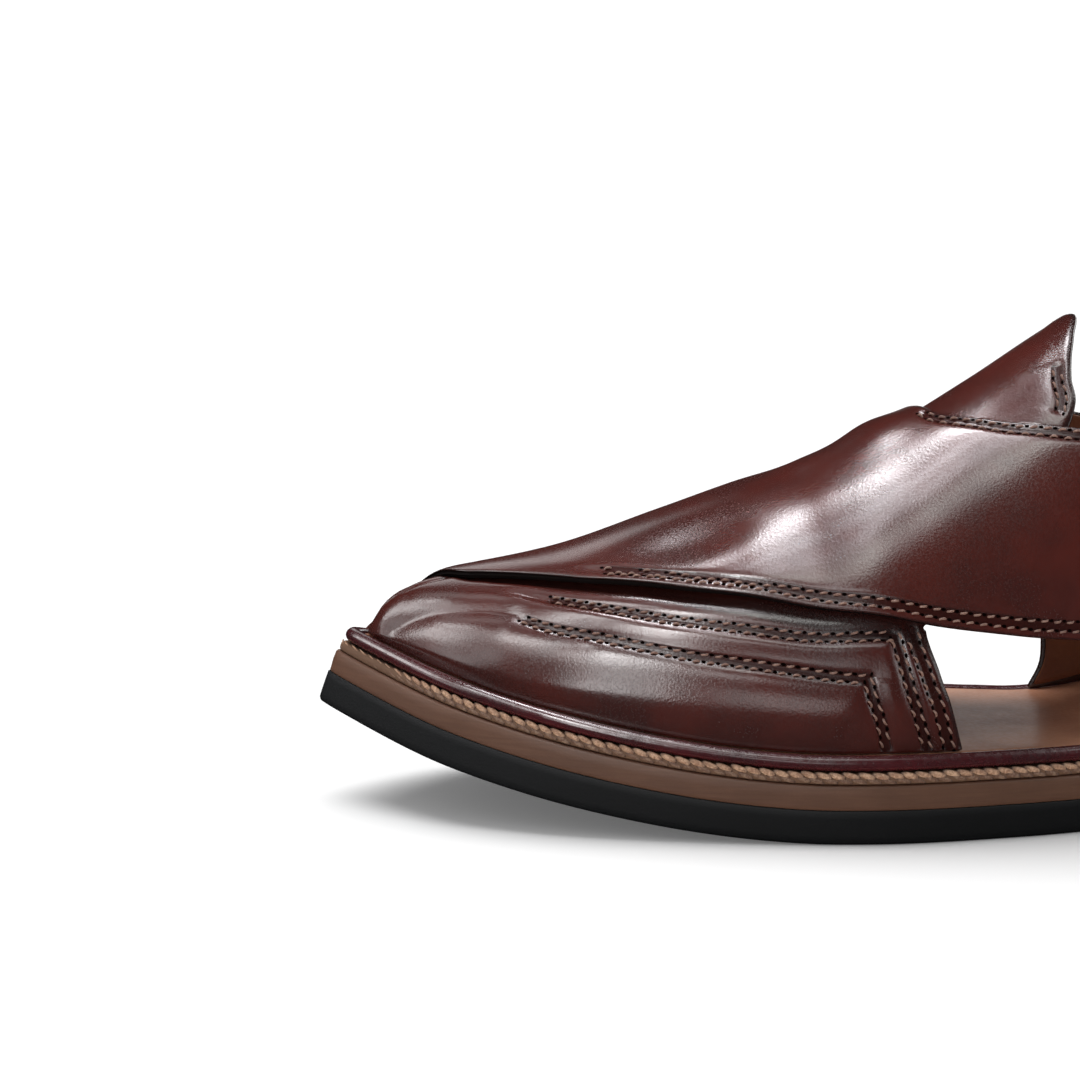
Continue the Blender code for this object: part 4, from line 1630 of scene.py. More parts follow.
    def _seam_marks(self, points: Array, normals: Array) -> tuple[Array, Array]:
        """Seam coordinates of grid points and how far the seams press the leather in.

        Args:
            points: grid points.
            normals: outward directions there.

        Returns:
            (along, across, strength) for each point and the depth of the press.
        """
        flat, out = points.reshape(-1, 3), normals.reshape(-1, 3)
        marks = np.tile(UNSEWN, (len(flat), 1))
        press = np.zeros(len(flat))
        for seam in self.seams:
            along, across = seam.locate(flat, out)
            fade = seam.fade(along)
            dip = np.exp(-(across / (0.62 * seam.gap + 0.35))**2)
            press = np.maximum(press, seam.depth * seam.fade(along, seam.run_in) * dip)
            if seam.stitched:
                nearer = (np.abs(across) < marks[:, 1]) & (fade > 0.01)
                shifted = along + np.where(across > 0.0, 0.5 * seam.pitch, 0.0)
                marks[nearer] = np.stack([shifted, np.abs(across), fade], axis=1)[nearer]
        return marks.reshape(points.shape), press.reshape(points.shape[:-1])

    def _shell(self, skin: Skin, out: Array, back: Array, seam: Array, edge: Array, dye_and_shade: Array,
               bulge: float) -> None:
        """Closed sheet between two grids, with a rounded rim.

        Args:
            skin: mesh that it is added to.
            out: outer grid.
            back: inner grid, of the same shape.
            seam: seam coordinates of the outer grid.
            edge: distances from the edges.
            dye_and_shade: for each row, whether the front edge's rim is near black there, a dye
                that also paints the gap's shade.
            bulge: how far the rim rounds out beyond the grids.
        """
        top = skin.add_points(out, seam=seam, edge=edge)
        coarse = 2 if out.shape[0] > 150 else 1
        kept = np.ix_(*(np.unique(np.append(np.arange(0, size, coarse), size - 1))
                        for size in out.shape[:2]))
        rim = np.zeros(out.shape[:2])
        rim[:, 0] = dye_and_shade
        inner_grid = back[kept]
        low = skin.add_points(inner_grid, edge=np.zeros(inner_grid.shape[:2]), rim=rim[kept])
        skin.add_grid(top)
        skin.add_grid(low, flip=True)
        order = np.arange(rim.size).reshape(rim.shape)
        ring, border = _outline(top), _outline(order)
        edge_out, edge_back = out.reshape(-1, 3)[border], back.reshape(-1, 3)[border]
        ahead = np.roll(edge_out, -1, axis=0) - np.roll(edge_out, 1, axis=0)
        outward = unit(np.cross(ahead, edge_out - edge_back))
        marks = {"edge": np.zeros(len(ring)), "rim": rim.ravel()[border]}
        middle, half = (edge_out + edge_back) / 2, (edge_out - edge_back) / 2
        loops = [ring]
        for angle in np.radians((36, 72, 108, 144)):
            place = middle + half * np.cos(angle) + outward * bulge * np.sin(angle)
            loops.append(skin.add_points(place, **marks))
        last = skin.add_points(edge_back, **marks)
        skin.add_grid(np.stack(loops + [last]), closed=True, flip=True)
        # The inner grid is coarser than the rim, so that each of its border edges meets several.
        corners = _outline(low)
        place_of = {int(point): k for k, point in enumerate(border)}
        starts = [place_of[int(point)] for point in _outline(order[kept])]
        for k, first in enumerate(starts):
            j = (k + 1) % len(starts)
            steps = (starts[j] - first) % len(last) + 1
            run = [last[(first + m) % len(last)] for m in range(steps)]
            skin.faces.append(np.array([[*run, corners[j], corners[k]]])[:, ::-1])


def _outline(index: Array) -> Array:
    """Indices round the border of a grid, each once."""
    return np.concatenate([index[0, :-1], index[:-1, -1], index[-1, :0:-1], index[:0:-1, 0]])


@dataclass
class Upper:
    """Both straps with their linings and stitching.

    `flank` is how many millimetres a change of 1 in t spans on the last's outer side.  The over
    strap's front edge is followed from `gap_front` to `gap_back`, and the under strap is hidden
    where t is below `hidden_t`.
    """

    clear: float = 2.1
    over_body: float = 2.05
    over_pad: float = 0.35
    over_pad_reach: float = 5.0
    over_round: float = 0.35
    throat_roll: float = 1.25
    throat_s: float = 127.5
    under_round: float = 0.3
    round_reach: float = 0.5
    pillow: float = 0.75
    pillow_reach: float = 3.3
    furrow: float = 0.9
    furrow_reach: float = 3.2
    painted_shade_reach: float = 2.3
    flank: float = 55.0
    gap_front: float = 22.0
    gap_back: float = 170.0
    hidden_t: float = -0.2

    def __post_init__(self) -> None:
        """Lay out the two straps' edges, which the seams follow."""
        self.front_edge = Curve([12.0] + [r.front_s for r in OVER_PATTERN[4:18]],
                                [-0.6] + [r.front_t for r in OVER_PATTERN[4:18]])
        self.back_edge = Curve([r.back_t for r in OVER_PATTERN], [r.back_s for r in OVER_PATTERN])

    def over_clear(self, s: Array, t: Array) -> Array:
        """Height of the over strap's inner face off the last.

        Args:
            s: places along the shoe.
            t: places round the last.

        Returns:
            The heights.
        """
        along_foot = ease((1.0 - np.abs(t)) / 0.25)
        inner_side = np.maximum(along_foot, 1.0 - ease((s - 22.0) / 22.0))
        return self.clear * np.where(t < 0.0, inner_side, along_foot)

    def over_outer(self, _strap: Strap, s: Array, t: Array, edge: Array) -> Array:
        """Height of the over strap's outer face: padded, and fullest where it meets the throat.

        Args:
            _strap: the strap, which this face doesn't depend on.
            s: places along the shoe.
            t: places round the last.
            edge: distances from the strap's edges.

        Returns:
            The heights.
        """
        body = self.over_clear(s, t) + self.over_body
        pad = self.over_pad * (1.0 - np.exp(-(edge / self.over_pad_reach)**2))
        roll = self.throat_roll * np.exp(-((s - self.throat_s) / 6.5)**2) * np.exp(-(t / 0.15)**2)
        rounded = self.over_round * np.exp(-edge / self.round_reach)
        return body + pad + roll - rounded

    def gap_shadow(self, s: Array, t: Array) -> Array:
        """Distance in millimetres beyond the hollow below the over strap's front edge, where shade
        is painted on the under strap.

        Args:
            s: places along the shoe.
            t: places round the last.

        Returns:
            The distances.
        """
        below = (t - self.front_edge.at(np.clip(s, self.gap_front, self.gap_back))) * self.flank
        outside = 9.0 * (1.0 - ease((s - 14.0) / 6.0) * ease((134.0 - s) / 5.0))
        hidden = np.where(t < self.hidden_t, 9.0, 0.0)
        return np.maximum(below - self.painted_shade_reach, 0.0) + outside + hidden

    def under_outer(self, strap: Strap, s: Array, t: Array, edge: Array) -> Array:
        """Height of the under strap's outer face: pillows between its seams where it shows.

        Args:
            strap: the strap, with its seams.
            s: places along the shoe.
            t: places round the last.
            edge: distances from the strap's edges.

        Returns:
            The heights.
        """
        covered = (t < self.front_edge.at(s)) & (s > 12.0) & (s < self.back_edge.at(t))
        normal = LAST.normal(s, t)
        flat = (LAST.surface(s, t) + normal * LEATHER).reshape(-1, 3)
        out = normal.reshape(-1, 3)
        nearest = np.full(len(flat), FAR)
        for seam in strap.seams:
            along, across = seam.locate(flat, out)
            slow = 0.5 if seam.sided else 1.0
            away = 6.0 * (1.0 - seam.fade(along, seam.run_in)) + seam.soften
            reach = np.where(across > 0.0, slow, 1.0) * np.abs(across) + away
            nearest = np.minimum(nearest, reach)
        nearest = nearest.reshape(s.shape)
        edge_t = self.front_edge.at(np.clip(s, self.gap_front, self.gap_back))
        below = np.abs(t - edge_t) * self.flank
        visible = t > self.hidden_t
        nearest = np.minimum(nearest, np.where(visible, below + 0.8, nearest))
        shown = ease((t - self.front_edge.at(s)) / 0.05) * (s < 150)
        shown = shown + (s >= self.back_edge.at(t) + 1.0)
        shown = np.where(s < 20.0, np.maximum(shown, 1.0 - ease((s - 14.0) / 6.0)), shown)
        foot = ease((1.0 - np.abs(t)) / 0.10)
        free = ease(edge / 7.0) * np.where(s > self.back_edge.at(t), 0.3, 1.0)
        puff = self.pillow * (1.0 - np.exp(-(nearest / self.pillow_reach)**1.6)) * foot * free
        rounded = self.under_round * np.exp(-edge / self.round_reach)
        along_gap = (ease((s - self.gap_front) / 10.0)
                     * ease((self.back_edge.at(t) - s) / 4.0) * foot)
        sunk = self.furrow * along_gap * np.exp(-(below / self.furrow_reach)**2) * visible
        return LEATHER + np.where(covered, 0.0, puff * np.clip(shown, 0.0, 1.0)) - rounded - sunk

    def build(self) -> list[Object]:
        """Make and dress the upper.

        Returns:
            Its pieces.
        """
        leather, lining = UPPER_LEATHER.build(), LINING_LEATHER.build()
        thread, shade = STITCH_THREAD.build(), PRICK_SHADE.build()
        under = Strap("under_strap", UNDER_PATTERN, 320, crowded(168, 0.0, 0.14, 1.1),
                      lambda s, t: np.zeros_like(s), self.under_outer, self.gap_shadow)
        over = Strap("over_strap", OVER_PATTERN, 320, crowded(156, 0.05, 0.05),
                     self.over_clear, self.over_outer, dye_and_shade_to=134.0)
        self._under_seams(under)
        self._over_seams(over)
        pieces = []
        for strap, nodes in ((under, ("upper",)), (over, ())):
            made = strap.build(leather, lining, nodes)
            needle = Needlework(made[0])
            for seam in strap.seams:
                needle.sew(seam)
            pieces += made + needle.finish(strap.name, thread, shade, Slot.UPPER)
        return pieces

    def _under_seams(self, strap: Strap) -> None:
        """Lay out the under strap's seams: rows over the toe, at its back edge and at the throat.

        Args:
            strap: the strap that they are given to.
        """
        upper_row = [(22.0, 0.24), (28.7, 0.334), (36.2, 0.404), (43.3, 0.461), (54.0, 0.543),
                     (64.4, 0.610), (74.8, 0.651), (94.7, 0.697), (111.3, 0.719), (122.5, 0.735)]
        lower_row = [(38.3, 0.584), (44.5, 0.640), (54.9, 0.690), (65.2, 0.735), (75.2, 0.764),
                     (86.0, 0.781), (95.1, 0.793), (105.9, 0.808), (117.3, 0.832)]
        trough = [(12.1, 0.815), (13.8, 0.743), (15.5, 0.68), (19.6, 0.598), (23.3, 0.567),
                  (29.2, 0.541), (33.7, 0.553), (38.3, 0.584), (44.5, 0.640), (52.0, 0.678)]
        turn = [(117.3, 0.836), (118.2, 0.88), (119.3, 0.916), (120.2, 0.952), (121.0, 0.992)]
        pair = [(123.4, 0.737), (124.4, 0.788), (125.3, 0.830), (126.6, 0.882), (128.2, 0.940),
                (129.6, 0.992)]
        back = strap.border(1.0, LEATHER)
        top = self._border_place(back, (129.7, 0.72))
        throat_start = self._border_place(back, (165.8, 0.40))
        throat_end = self._border_place(back, (166.1, 0.26))
        strap.seams = [
            Seam(LAST.line(upper_row, LEATHER), start=26.0, sided=True, run_in=16.0),
            Seam(LAST.line(lower_row, LEATHER), start=1.0, sided=True, run_in=20.0),
            Seam(LAST.line(trough, LEATHER), depth=0.3, stitched=False, gap=5.0, run_in=6.0,
                 soften=1.7),
            Seam(LAST.line(turn, LEATHER)),
            Seam(LAST.line(pair, LEATHER), gap=1.6),
            Seam(back, offset=2.5, gap=1.8, start=1.0, end=top - 1.0, depth=0.45),
            Seam(back, offset=2.4, start=throat_start, end=throat_end, depth=0.4),
            Seam(back, offset=2.4, start=throat_end + 27.0, end=arc_length(back)[-1] - 2.0,
                 depth=0.4),
        ]

    def _over_seams(self, strap: Strap) -> None:
        """Lay out the over strap's seams, a double row inside each edge.

        Args:
            strap: the strap that they are given to.
        """
        front, back = (strap.border(share, self.clear + LEATHER) for share in (0.0, 1.0))
        begin = self._border_place(front, (55.7, 0.449))
        near = self._border_place(back, (139.4, 0.143))
        far = self._border_place(back, (134.0, -0.42))
        strap.seams = [
            Seam(front, offset=2.8, start=begin, end=arc_length(front)[-1] - 2.0, depth=0.4,
                 run_in=12.0),
            Seam(back, offset=-2.0, gap=1.4, start=3.0, end=far),
            Seam(back, offset=-2.0, gap=1.4, start=near, end=arc_length(back)[-1] - 2.0),
        ]

    def _border_place(self, border: Array, place: tuple[float, float]) -> float:
        """Distance along a border of the point nearest to an (s, t) place."""
        point = LAST.surface(np.array(place[0]), np.array(place[1]))
        return float(arc_length(border)[np.linalg.norm(border - point, axis=1).argmin()])


# ---- heel strap and buckle ----
@dataclass
class HeelStrap:
    """Leather band round the heel, with its row of punched holes."""

    width: float = 18.0
    thick: float = 2.2
    tail: float = 6.0
    spacing: float = 0.55
    heel_middle: tuple[float, float, float] = (0.0, 60.0, 0.0)
    side_round: float = 1.1
    padding: float = 0.25
    groove: float = 0.22
    seam_inset: float = 2.0
    first_hole: float = 20.0
    hole_depth: float = 0.9
    hole_radius: float = 1.05
    hole_spacing: float = 7.5
    holes: int = 5

    def __post_init__(self) -> None:
        """Lay out the strap's centre line."""
        keys = np.arange(len(HEEL_STRAP_ROUTE), dtype=float)
        fine = np.linspace(0.0, keys[-1], 1600)
        s, x, n, lean = (Curve(keys, column).at(fine) for column in zip(*HEEL_STRAP_ROUTE))
        line = SOLE.spring(x, s, n)
        length = arc_length(line)
        self.length = length[-1]
        self.places = np.linspace(0.0, self.length, int(self.length / self.spacing))
        self.line = np.stack([np.interp(self.places, length, line[:, k]) for k in range(3)], axis=1)
        self.lean = np.interp(self.places, length, lean)
        run = np.gradient(self.line, axis=0)
        outward = unit(np.stack([run[:, 1], -run[:, 0], run[:, 0] * 0], axis=1))
        from_middle = (self.line - np.array(self.heel_middle)) * (1.0 - UP)
        facing = np.einsum("ij,ij->i", outward, from_middle)
        self.outward = outward * np.where(facing < 0.0, -1.0, 1.0)[:, None]

    def build(self) -> list[Object]:
        """Make and dress the strap and its stitches.

        Returns:
            The strap, its threads and its needle holes.
        """
        to_end = self.length - self.places
        taper = np.sqrt(np.clip(1.0 - np.clip(1.0 - to_end / self.tail, 0.0, 1.0)**2, 0.0, 1.0))
        half = self.width / 2 * (0.4 + 0.6 * taper)
        ways = np.linspace(-1.0, 1.0, 41)
        up = ways[None] * half[:, None]
        margin = half[:, None] - np.abs(up)
        from_side = np.clip(1.0 - margin / self.side_round, 0.0, 1.0)
        inner = self.thick / 2 * np.sqrt(np.clip(1.0 - from_side**2, 0.02, 1.0))
        from_seam = margin - self.seam_inset
        outer = inner + (self.padding * np.exp(-((margin - 6.0) / 3.5)**2)
                         - self.groove * np.exp(-(from_seam / 0.7)**2))
        for k in range(self.holes):
            hole = self.length - self.first_hole - k * self.hole_spacing
            away = np.hypot(self.places[:, None] - hole, up)
            outer -= self.hole_depth * ease((self.hole_radius + 0.45 - away) / 0.6)
        lean = -(self.lean / self.width)[:, None] * up
        base = self.line[:, None] + UP * up[..., None]
        side = self.outward[:, None]
        face = base + side * (outer + lean)[..., None]
        rear = base + side * (lean - inner)[..., None]
        strength = ease((self.places - 2.0) / 2.0) * ease((to_end - 3.0) / 2.0)
        seam = np.stack(np.broadcast_arrays(self.places[:, None], from_seam, strength[:, None]),
                        axis=-1)
        skin = Skin()
        index = skin.add_points(np.concatenate([face, rear[:, ::-1]], axis=1),
                                seam=np.concatenate([seam, seam * 0 + UNSEWN], axis=1),
                                edge=np.concatenate([margin, margin], axis=1))
        skin.add_grid(index, closed=True)
        skin.add_caps(index)
        strap = skin.build("heel_strap_leather", weld=0.01)
        dress(strap, HEEL_LEATHER.build(), Slot.UPPER, ("heel_strap",))
        needle = Needlework(strap)
        for row in (-1.0, 1.0):
            line = self.line + UP * (row * (self.width / 2 - self.seam_inset))
            line = line + self.outward * (self.thick / 2 - row * self.lean[:, None] / 2 * 0.8)
            needle.sew(Seam(line, gap=0.0, start=3.0, end=self.length - 5.0), only_side=-1)
        return [strap] + needle.finish("heel_strap", STITCH_THREAD.build(), PRICK_SHADE.build(),
                                       Slot.UPPER)


@dataclass
class Buckle:
    """Wire buckle with its tongue, the leather tab that holds it and the keeper loop.

    The tab's two layers lie at `tab_under_x` and `tab_over_x`, with a slot for the tongue, and the
    keeper's middle at `keeper_x` and `keeper_level`.  Both lean in with the strap.
    """

    front_s: float = 227.0
    back_s: float = 243.6
    front_x: float = 30.9
    back_x: float = 32.1
    level: float = 61.2
    half_width: float = 12.2
    wire: float = 2.4
    corner: float = 3.0
    tongue: float = 1.9
    tab_start: float = 208.5
    tab_width: float = 13.0
    tab_half_thick: float = 0.45
    tab_under_x: float = 30.15
    tab_over_x: float = 31.3
    tab_lean: float = 0.12
    tab_drop: float = 1.0
    slot_half: float = 1.6
    keeper_s: float = 214.0
    keeper_x: float = 34.6
    keeper_level: float = 59.4
    keeper_lean: float = 2.2 / 18.0
    keeper_width: float = 6.0
    keeper_half_up: float = 10.1
    keeper_half_out: float = 1.75
    keeper_half_thick: float = 0.62
    keeper_power: float = 0.28

    def point(self, along: Array, up: Array, out: Array = 0.0) -> Array:
        """Point in or beside the buckle's plane.

        Args:
            along: 0 at its front bar and 1 at its back bar.
            up: height over its middle.
            out: distance out of its plane.

        Returns:
            The point in millimetres.
        """
        x = self.front_x + (self.back_x - self.front_x) * along + out
        s = self.front_s + (self.back_s - self.front_s) * along
        return SOLE.spring(x, s, self.level + up)

    def build(self) -> list[Object]:
        """Make and dress the buckle and its leather.

        Returns:
            Its pieces.
        """
        brass, leather = BUCKLE_BRASS.build(), UPPER_LEATHER.build()
        return [
            dress(self._frame(), brass, Slot.BUCKLE, ("buckle_frame",)),
            dress(self._tongue(), brass, Slot.BUCKLE, ("buckle_prong",)),
            dress(self._tab(), leather, Slot.UPPER, ("buckle_tab",)),
            dress(self._keeper(), leather, Slot.UPPER, ("keeper",)),
        ]

    def _frame(self) -> Object:
        """Rounded rectangle of wire, a little flattened.

        Returns:
            The piece.
        """
        length = self.back_s - self.front_s
        along, up = [], []
        for at_back, sign, quarter in ((1, 1, 0), (0, 1, 1), (0, -1, 2), (1, -1, 3)):
            angle = (quarter + np.linspace(0.0, 1.0, 10)) * np.pi / 2
            middle = length * at_back + (self.corner if at_back == 0 else -self.corner)
            along.append((middle + self.corner * np.cos(angle)) / length)
            up.append(sign * (self.half_width - self.corner) + self.corner * np.sin(angle))
        corners = self.point(np.concatenate(along), np.concatenate(up))
        route = resample(np.concatenate([corners, corners[:1]]), 0.5)[:-1]
        ahead = unit(np.roll(route, -1, axis=0) - np.roll(route, 1, axis=0))
        out = unit(np.cross(self.point(1.0, 0.0) - self.point(0.0, 0.0), UP))
        side = unit(np.cross(ahead, out))
        wide = np.full(len(route), self.wire / 2)
        skin = Skin()
        tube(skin, route, side, np.repeat(out[None], len(route), 0), wide, wide * 0.86, 16,
             closed=True)
        return skin.build("buckle_wire", weld=0.01)

    def _tongue(self) -> Object:
        """Tongue that runs from a loop on the front bar to rest on the back bar.

        Returns:
            The piece.
        """
        reach = (self.wire + self.tongue) / 2 + 0.1
        angle = np.radians(np.linspace(200.0, 68.0, 12))
        loop_along = np.cos(angle) * reach / (self.back_s - self.front_s)
        loop = self.point(loop_along, np.zeros(12), np.sin(angle) * reach)
        share = np.linspace(0.16, 1.04, 24)
        arch = np.interp(share, (0.16, 0.3, 0.7, 1.0, 1.04), (0.75, 0.8, 1.3, reach, reach - 0.1))
        centre = resample(np.concatenate([loop, self.point(share, share * 0, arch)]), 0.4)
        ahead = unit(np.gradient(centre, axis=0))
        side = np.repeat(UP[None], len(centre), axis=0)
        up = unit(np.cross(side, ahead))
        half = self.tongue / 2
        taper = np.interp(np.linspace(0, 1, len(centre)), (0, 0.7, 0.97, 1.0),
                          (half, half, 0.7, 0.45))
        skin = Skin()
        tube(skin, centre, side, up, taper, taper * 0.9, 14)
        return skin.build("buckle_tongue", weld=0.01)

    def _tab(self) -> Object:
        """Tab that lies on the leg, turns round the front bar and is sewn back on itself.

        Returns:
            The piece.
        """
        skin = Skin()
        bar = self.wire / 2 + 0.55
        stop = self.front_s - 1.5
        lengths = np.linspace(self.tab_start, stop, 30)
        angle = np.radians(np.linspace(-90.0, 90.0, 14))
        side, slot = self.tab_width / 2, self.slot_half
        for low, high, looped in ((-side, -slot, True), (-slot, slot, False), (slot, side, True)):
            s, x = lengths, np.full(30, self.tab_under_x)
            if looped:
                s = np.concatenate([s, self.front_s + bar * np.cos(angle), lengths[:12:-1]])
                x = np.concatenate([x, self.front_x + bar * np.sin(angle),
                                    np.full(17, self.tab_over_x)])
            rows = np.linspace(low, high, 9)
            run = np.gradient(np.stack([x, s], axis=1), axis=0)
            run = run / np.linalg.norm(run, axis=1, keepdims=True)
            lean, level = -self.tab_lean * rows[None], self.level - self.tab_drop + rows[None]
            faces = [SOLE.spring((x + run[:, 1] * thick)[:, None] + lean,
                                 (s - run[:, 0] * thick)[:, None], level)
                     for thick in (self.tab_half_thick, -self.tab_half_thick)]
            index = skin.add_points(np.concatenate([faces[0], faces[1][:, ::-1]], axis=1),
                                    seam=np.tile(UNSEWN, (len(s), 18, 1)),
                                    edge=np.full((len(s), 18), 2.0))
            skin.add_grid(index, closed=True)
            skin.add_caps(index)
        return skin.build("buckle_tab_leather", weld=0.01)

    def _keeper(self) -> Object:
        """Leather loop round the strap's tail, a rounded rectangle.

        Returns:
            The piece.
        """
        angle = np.linspace(0.0, 2 * np.pi, 72, endpoint=False)
        rise, width = np.sin(angle), np.cos(angle)
        up = self.keeper_half_up * np.sign(rise) * np.abs(rise)**self.keeper_power
        out = self.keeper_half_out * np.sign(width) * np.abs(width)**self.keeper_power
        ways = np.linspace(-1.0, 1.0, 13)
        s = self.keeper_s + ways * self.keeper_width / 2
        round_off = self.keeper_half_thick * np.sqrt(np.clip(1.0 - np.abs(ways)**6, 0.06, 1.0))
        lean = -self.keeper_lean * up

        def ring(grow: Array) -> Array:
            """Loop for every place along the strap.

            Args:
                grow: how far out of the loop's middle surface it lies at each place.

            Returns:
                Its points, shape (places, points round it, 3).
            """
            x = self.keeper_x + lean[None] + out[None] + np.sign(out)[None] * grow[:, None]
            n = self.keeper_level + up[None] + np.sign(up)[None] * grow[:, None]
            return SOLE.spring(x, np.broadcast_to(s[:, None], x.shape), n)

        outer, inner = ring(round_off), ring(-round_off)
        grid = np.concatenate([outer, inner[::-1], outer[:1]])
        to_side = (1 - np.abs(ways)) * 3
        edge = np.concatenate([to_side, to_side, [0.0]])
        skin = Skin()
        index = skin.add_points(grid, seam=np.tile(UNSEWN, (*grid.shape[:2], 1)),
                                edge=np.repeat(edge[:, None], grid.shape[1], axis=1))
        skin.add_grid(index, closed=True)
        return skin.build("keeper_loop", weld=0.01)


# ---- stage ----
@dataclass(frozen=True)
class SoftBox:
    """Square studio light that points at a target, all in metres."""

    name: str
    place: tuple[float, float, float]
    target: tuple[float, float, float]
    size: tuple[float, float]
    radiance: float
    colour: tuple[float, float, float] = (1.0, 1.0, 1.0)

    def build(self) -> None:
        """Add the light."""
        data = bpy.data.lights.new(self.name, "AREA")
        data.shape = "RECTANGLE"
        data.size, data.size_y = self.size
        data.energy = self.radiance * np.pi * self.size[0] * self.size[1]
        data.color = self.colour
        lamp = stand(self.name, data)
        lamp.location = self.place
        aim = Vector(self.target) - Vector(self.place)
        lamp.rotation_euler = aim.to_track_quat("-Z", "Y").to_euler()
        lamp.visible_camera = lamp.visible_diffuse = False


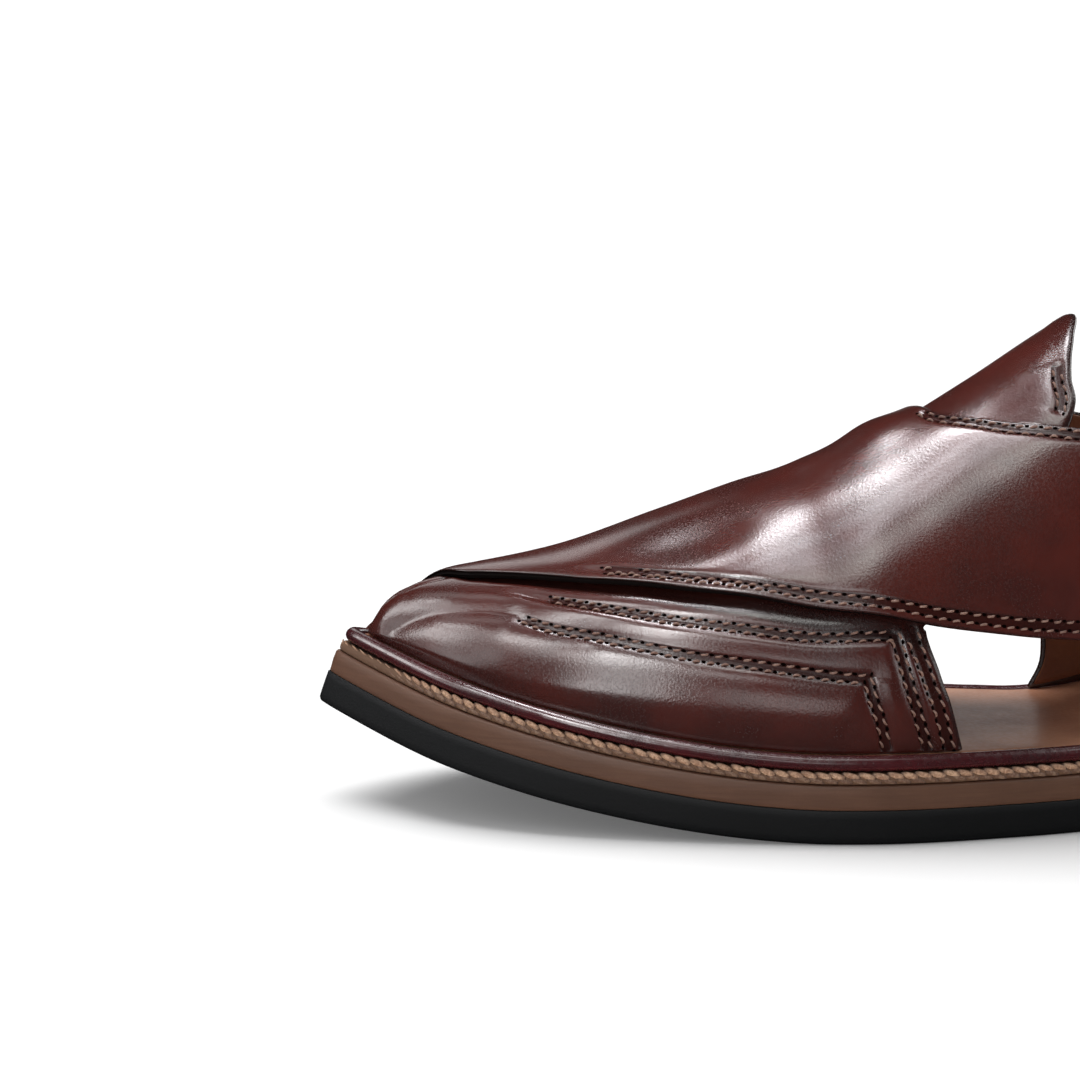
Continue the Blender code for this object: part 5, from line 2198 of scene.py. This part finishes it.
@dataclass(frozen=True)
class Studio:
    """Pale floor, even light, soft boxes and the camera, in metres.

    The surroundings shine with `ambient` on the shoe, `backdrop` in the camera's view and
    `mirrored` in reflections; the floor gives off `floor_glow`, which lightens the shadow.
    """

    camera_place: tuple[float, float, float] = (0.43292, -0.10808, 0.10853)
    camera_back: tuple[float, float, float] = (0.99288, -0.03120, 0.11494)
    camera_right: tuple[float, float, float] = (0.0314, 0.9995, 0.0)
    lens: float = 64.6
    floor_size: float = 60.0
    key_power: float = 2.5
    key_angle: float = 0.8
    key_from: tuple[float, float, float] = (-0.38, -0.22, 0.9)
    ambient: float = 0.42
    backdrop: float = 1.1
    mirrored: float = 0.02
    floor_glow: float = 0.12

    def build(self) -> None:
        """Add everything that isn't the shoe."""
        self._camera()
        self._world()
        self._floor()
        self._key()
        for box in self.lights():
            box.build()
        bpy.context.scene.view_settings.view_transform = "Standard"

    def lights(self) -> tuple[SoftBox, ...]:
        """The soft boxes, from those over the shoe to those behind it.

        Returns:
            The boxes.
        """
        down, toe = (0.0, -0.02, 0.05), (0.0, -0.09, 0.04)
        return (
            SoftBox("over_far", (-0.25, -0.13, 1.0), down, (0.12, 0.26), 25.0, (1.0, 0.97, 1.0)),
            SoftBox("over_mid", (0.0, -0.10, 1.0), down, (0.10, 0.19), 14.5, (0.99, 0.97, 1.0)),
            SoftBox("over_near", (0.19, -0.10, 1.0), down, (0.10, 0.21), 9.0, (0.99, 0.97, 1.0)),
            SoftBox("over_side", (0.44, -0.08, 1.0), down, (0.18, 0.22), 4.2, (0.96, 1.0, 0.95)),
            SoftBox("over_back", (0.40, 0.10, 1.0), down, (0.40, 0.20), 2.3),
            SoftBox("front_mid", (0.30, -0.59, 1.0), down, (0.20, 0.40), 8.5),
            SoftBox("front_near", (0.70, -0.50, 1.0), down, (0.20, 0.20), 7.8),
            SoftBox("front_side", (0.90, -0.50, 1.0), down, (0.20, 0.60), 14.5),
            SoftBox("front_row", (0.35, -0.95, 1.0), down, (1.20, 0.30), 2.2),
            SoftBox("front_far", (-0.30, -0.60, 1.0), down, (0.20, 0.40), 1.3),
            SoftBox("side_high", (1.20, -0.20, 1.0), down, (0.30, 0.30), 3.0),
            SoftBox("side_mid", (1.20, -0.60, 0.60), toe, (0.30, 0.30), 5.6),
            SoftBox("side_low", (1.10, -0.60, 0.25), toe, (0.30, 0.25), 7.0),
            SoftBox("side_back", (1.10, -0.10, 0.25), toe, (0.30, 0.25), 1.9),
            SoftBox("toe_high", (-0.15, -0.98, 1.0), toe, (0.22, 0.22), 6.0),
            SoftBox("toe_front", (0.0, -1.0, 0.60), toe, (0.35, 0.30), 6.0),
            SoftBox("toe_side", (0.50, -1.0, 0.60), toe, (0.35, 0.30), 1.9),
            SoftBox("toe_low", (0.25, -1.0, 0.25), toe, (0.35, 0.30), 2.0),
            SoftBox("toe_rim", (-0.33, -0.19, 0.27), toe, (0.14, 0.14), 1.2),
            SoftBox("window", (-0.40, 0.10, 0.12), down, (0.10, 0.16), 0.5),
            SoftBox("back_box", (-0.20, 0.80, 0.80), down, (0.9, 0.35), 6.0),
            SoftBox("back_low", (0.35, 1.0, 0.40), down, (0.5, 0.3), 2.0),
            SoftBox("inner_back", (-0.80, 0.70, 0.50), down, (0.6, 0.4), 3.0),
        )

    def _key(self) -> None:
        """Broad soft light from above that lays the shoe's shadow; it gives no highlight."""
        data = bpy.data.lights.new("key", "SUN")
        data.energy = self.key_power
        data.angle = self.key_angle
        lamp = stand("key", data)
        lamp.rotation_euler = (-Vector(self.key_from)).to_track_quat("-Z", "Y").to_euler()
        lamp.visible_glossy = False

    def _camera(self) -> None:
        """The camera, level and looking at the outer side of the toe."""
        data = bpy.data.cameras.new("camera")
        data.lens = self.lens
        data.sensor_width = 36.0
        data.clip_start, data.clip_end = 0.01, 200.0
        camera = stand("camera", data)
        back, right = Vector(self.camera_back).normalized(), Vector(self.camera_right).normalized()
        up = back.cross(right)
        turn = Matrix((right, up, back)).transposed()
        camera.matrix_world = Matrix.Translation(self.camera_place) @ turn.to_4x4()
        bpy.context.scene.camera = camera

    def _world(self) -> None:
        """White surroundings that light evenly but are dim in reflections."""
        world = bpy.data.worlds.new("studio")
        world.use_nodes = True
        bpy.context.scene.world = world
        tree = Tree(world.node_tree)
        shade = world.node_tree.nodes["Background"]
        rays = tree.add("LightPath")
        strength = self.ambient
        for kind, wanted in (("Is Camera Ray", self.backdrop), ("Is Glossy Ray", self.mirrored)):
            change = tree.math("MULTIPLY", rays.outputs[kind], wanted - self.ambient)
            strength = tree.math("ADD", strength, change)
        tree.feed(shade, {"Color": WHITE, "Strength": strength})

    def _floor(self) -> None:
        """Large pale floor under the shoe."""
        half = self.floor_size / 2
        mesh = bpy.data.meshes.new("floor")
        corners = [(-half, -half, 0.0), (half, -half, 0.0), (half, half, 0.0), (-half, half, 0.0)]
        mesh.from_pydata(corners, [], [(0, 1, 2, 3)])
        floor = stand("floor", mesh)
        material, tree, shader = new_material("floor_paper")
        colour = tree.mix(tree.noise(0.02), (0.93, 0.93, 0.93, 1), (0.90, 0.90, 0.905, 1))
        tree.feed(shader, {"Base Color": colour, "Roughness": 1.0, "Specular IOR Level": 0.0,
                           "Emission Color": WHITE, "Emission Strength": self.floor_glow})
        mesh.materials.append(material)
        floor.visible_glossy = False


def main() -> None:
    """Build the shoe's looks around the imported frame."""
    logging.basicConfig(level=logging.INFO, format="%(name)s %(message)s")
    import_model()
    Studio().build()
    pieces: list[Object] = []
    for part in (SoleStack(), Upper(), HeelStrap(), Buckle()):
        pieces += part.build()
    LOG.info("%d pieces", len(pieces))
    bpy.context.view_layer.update()


if __name__ == "__main__":
    main()
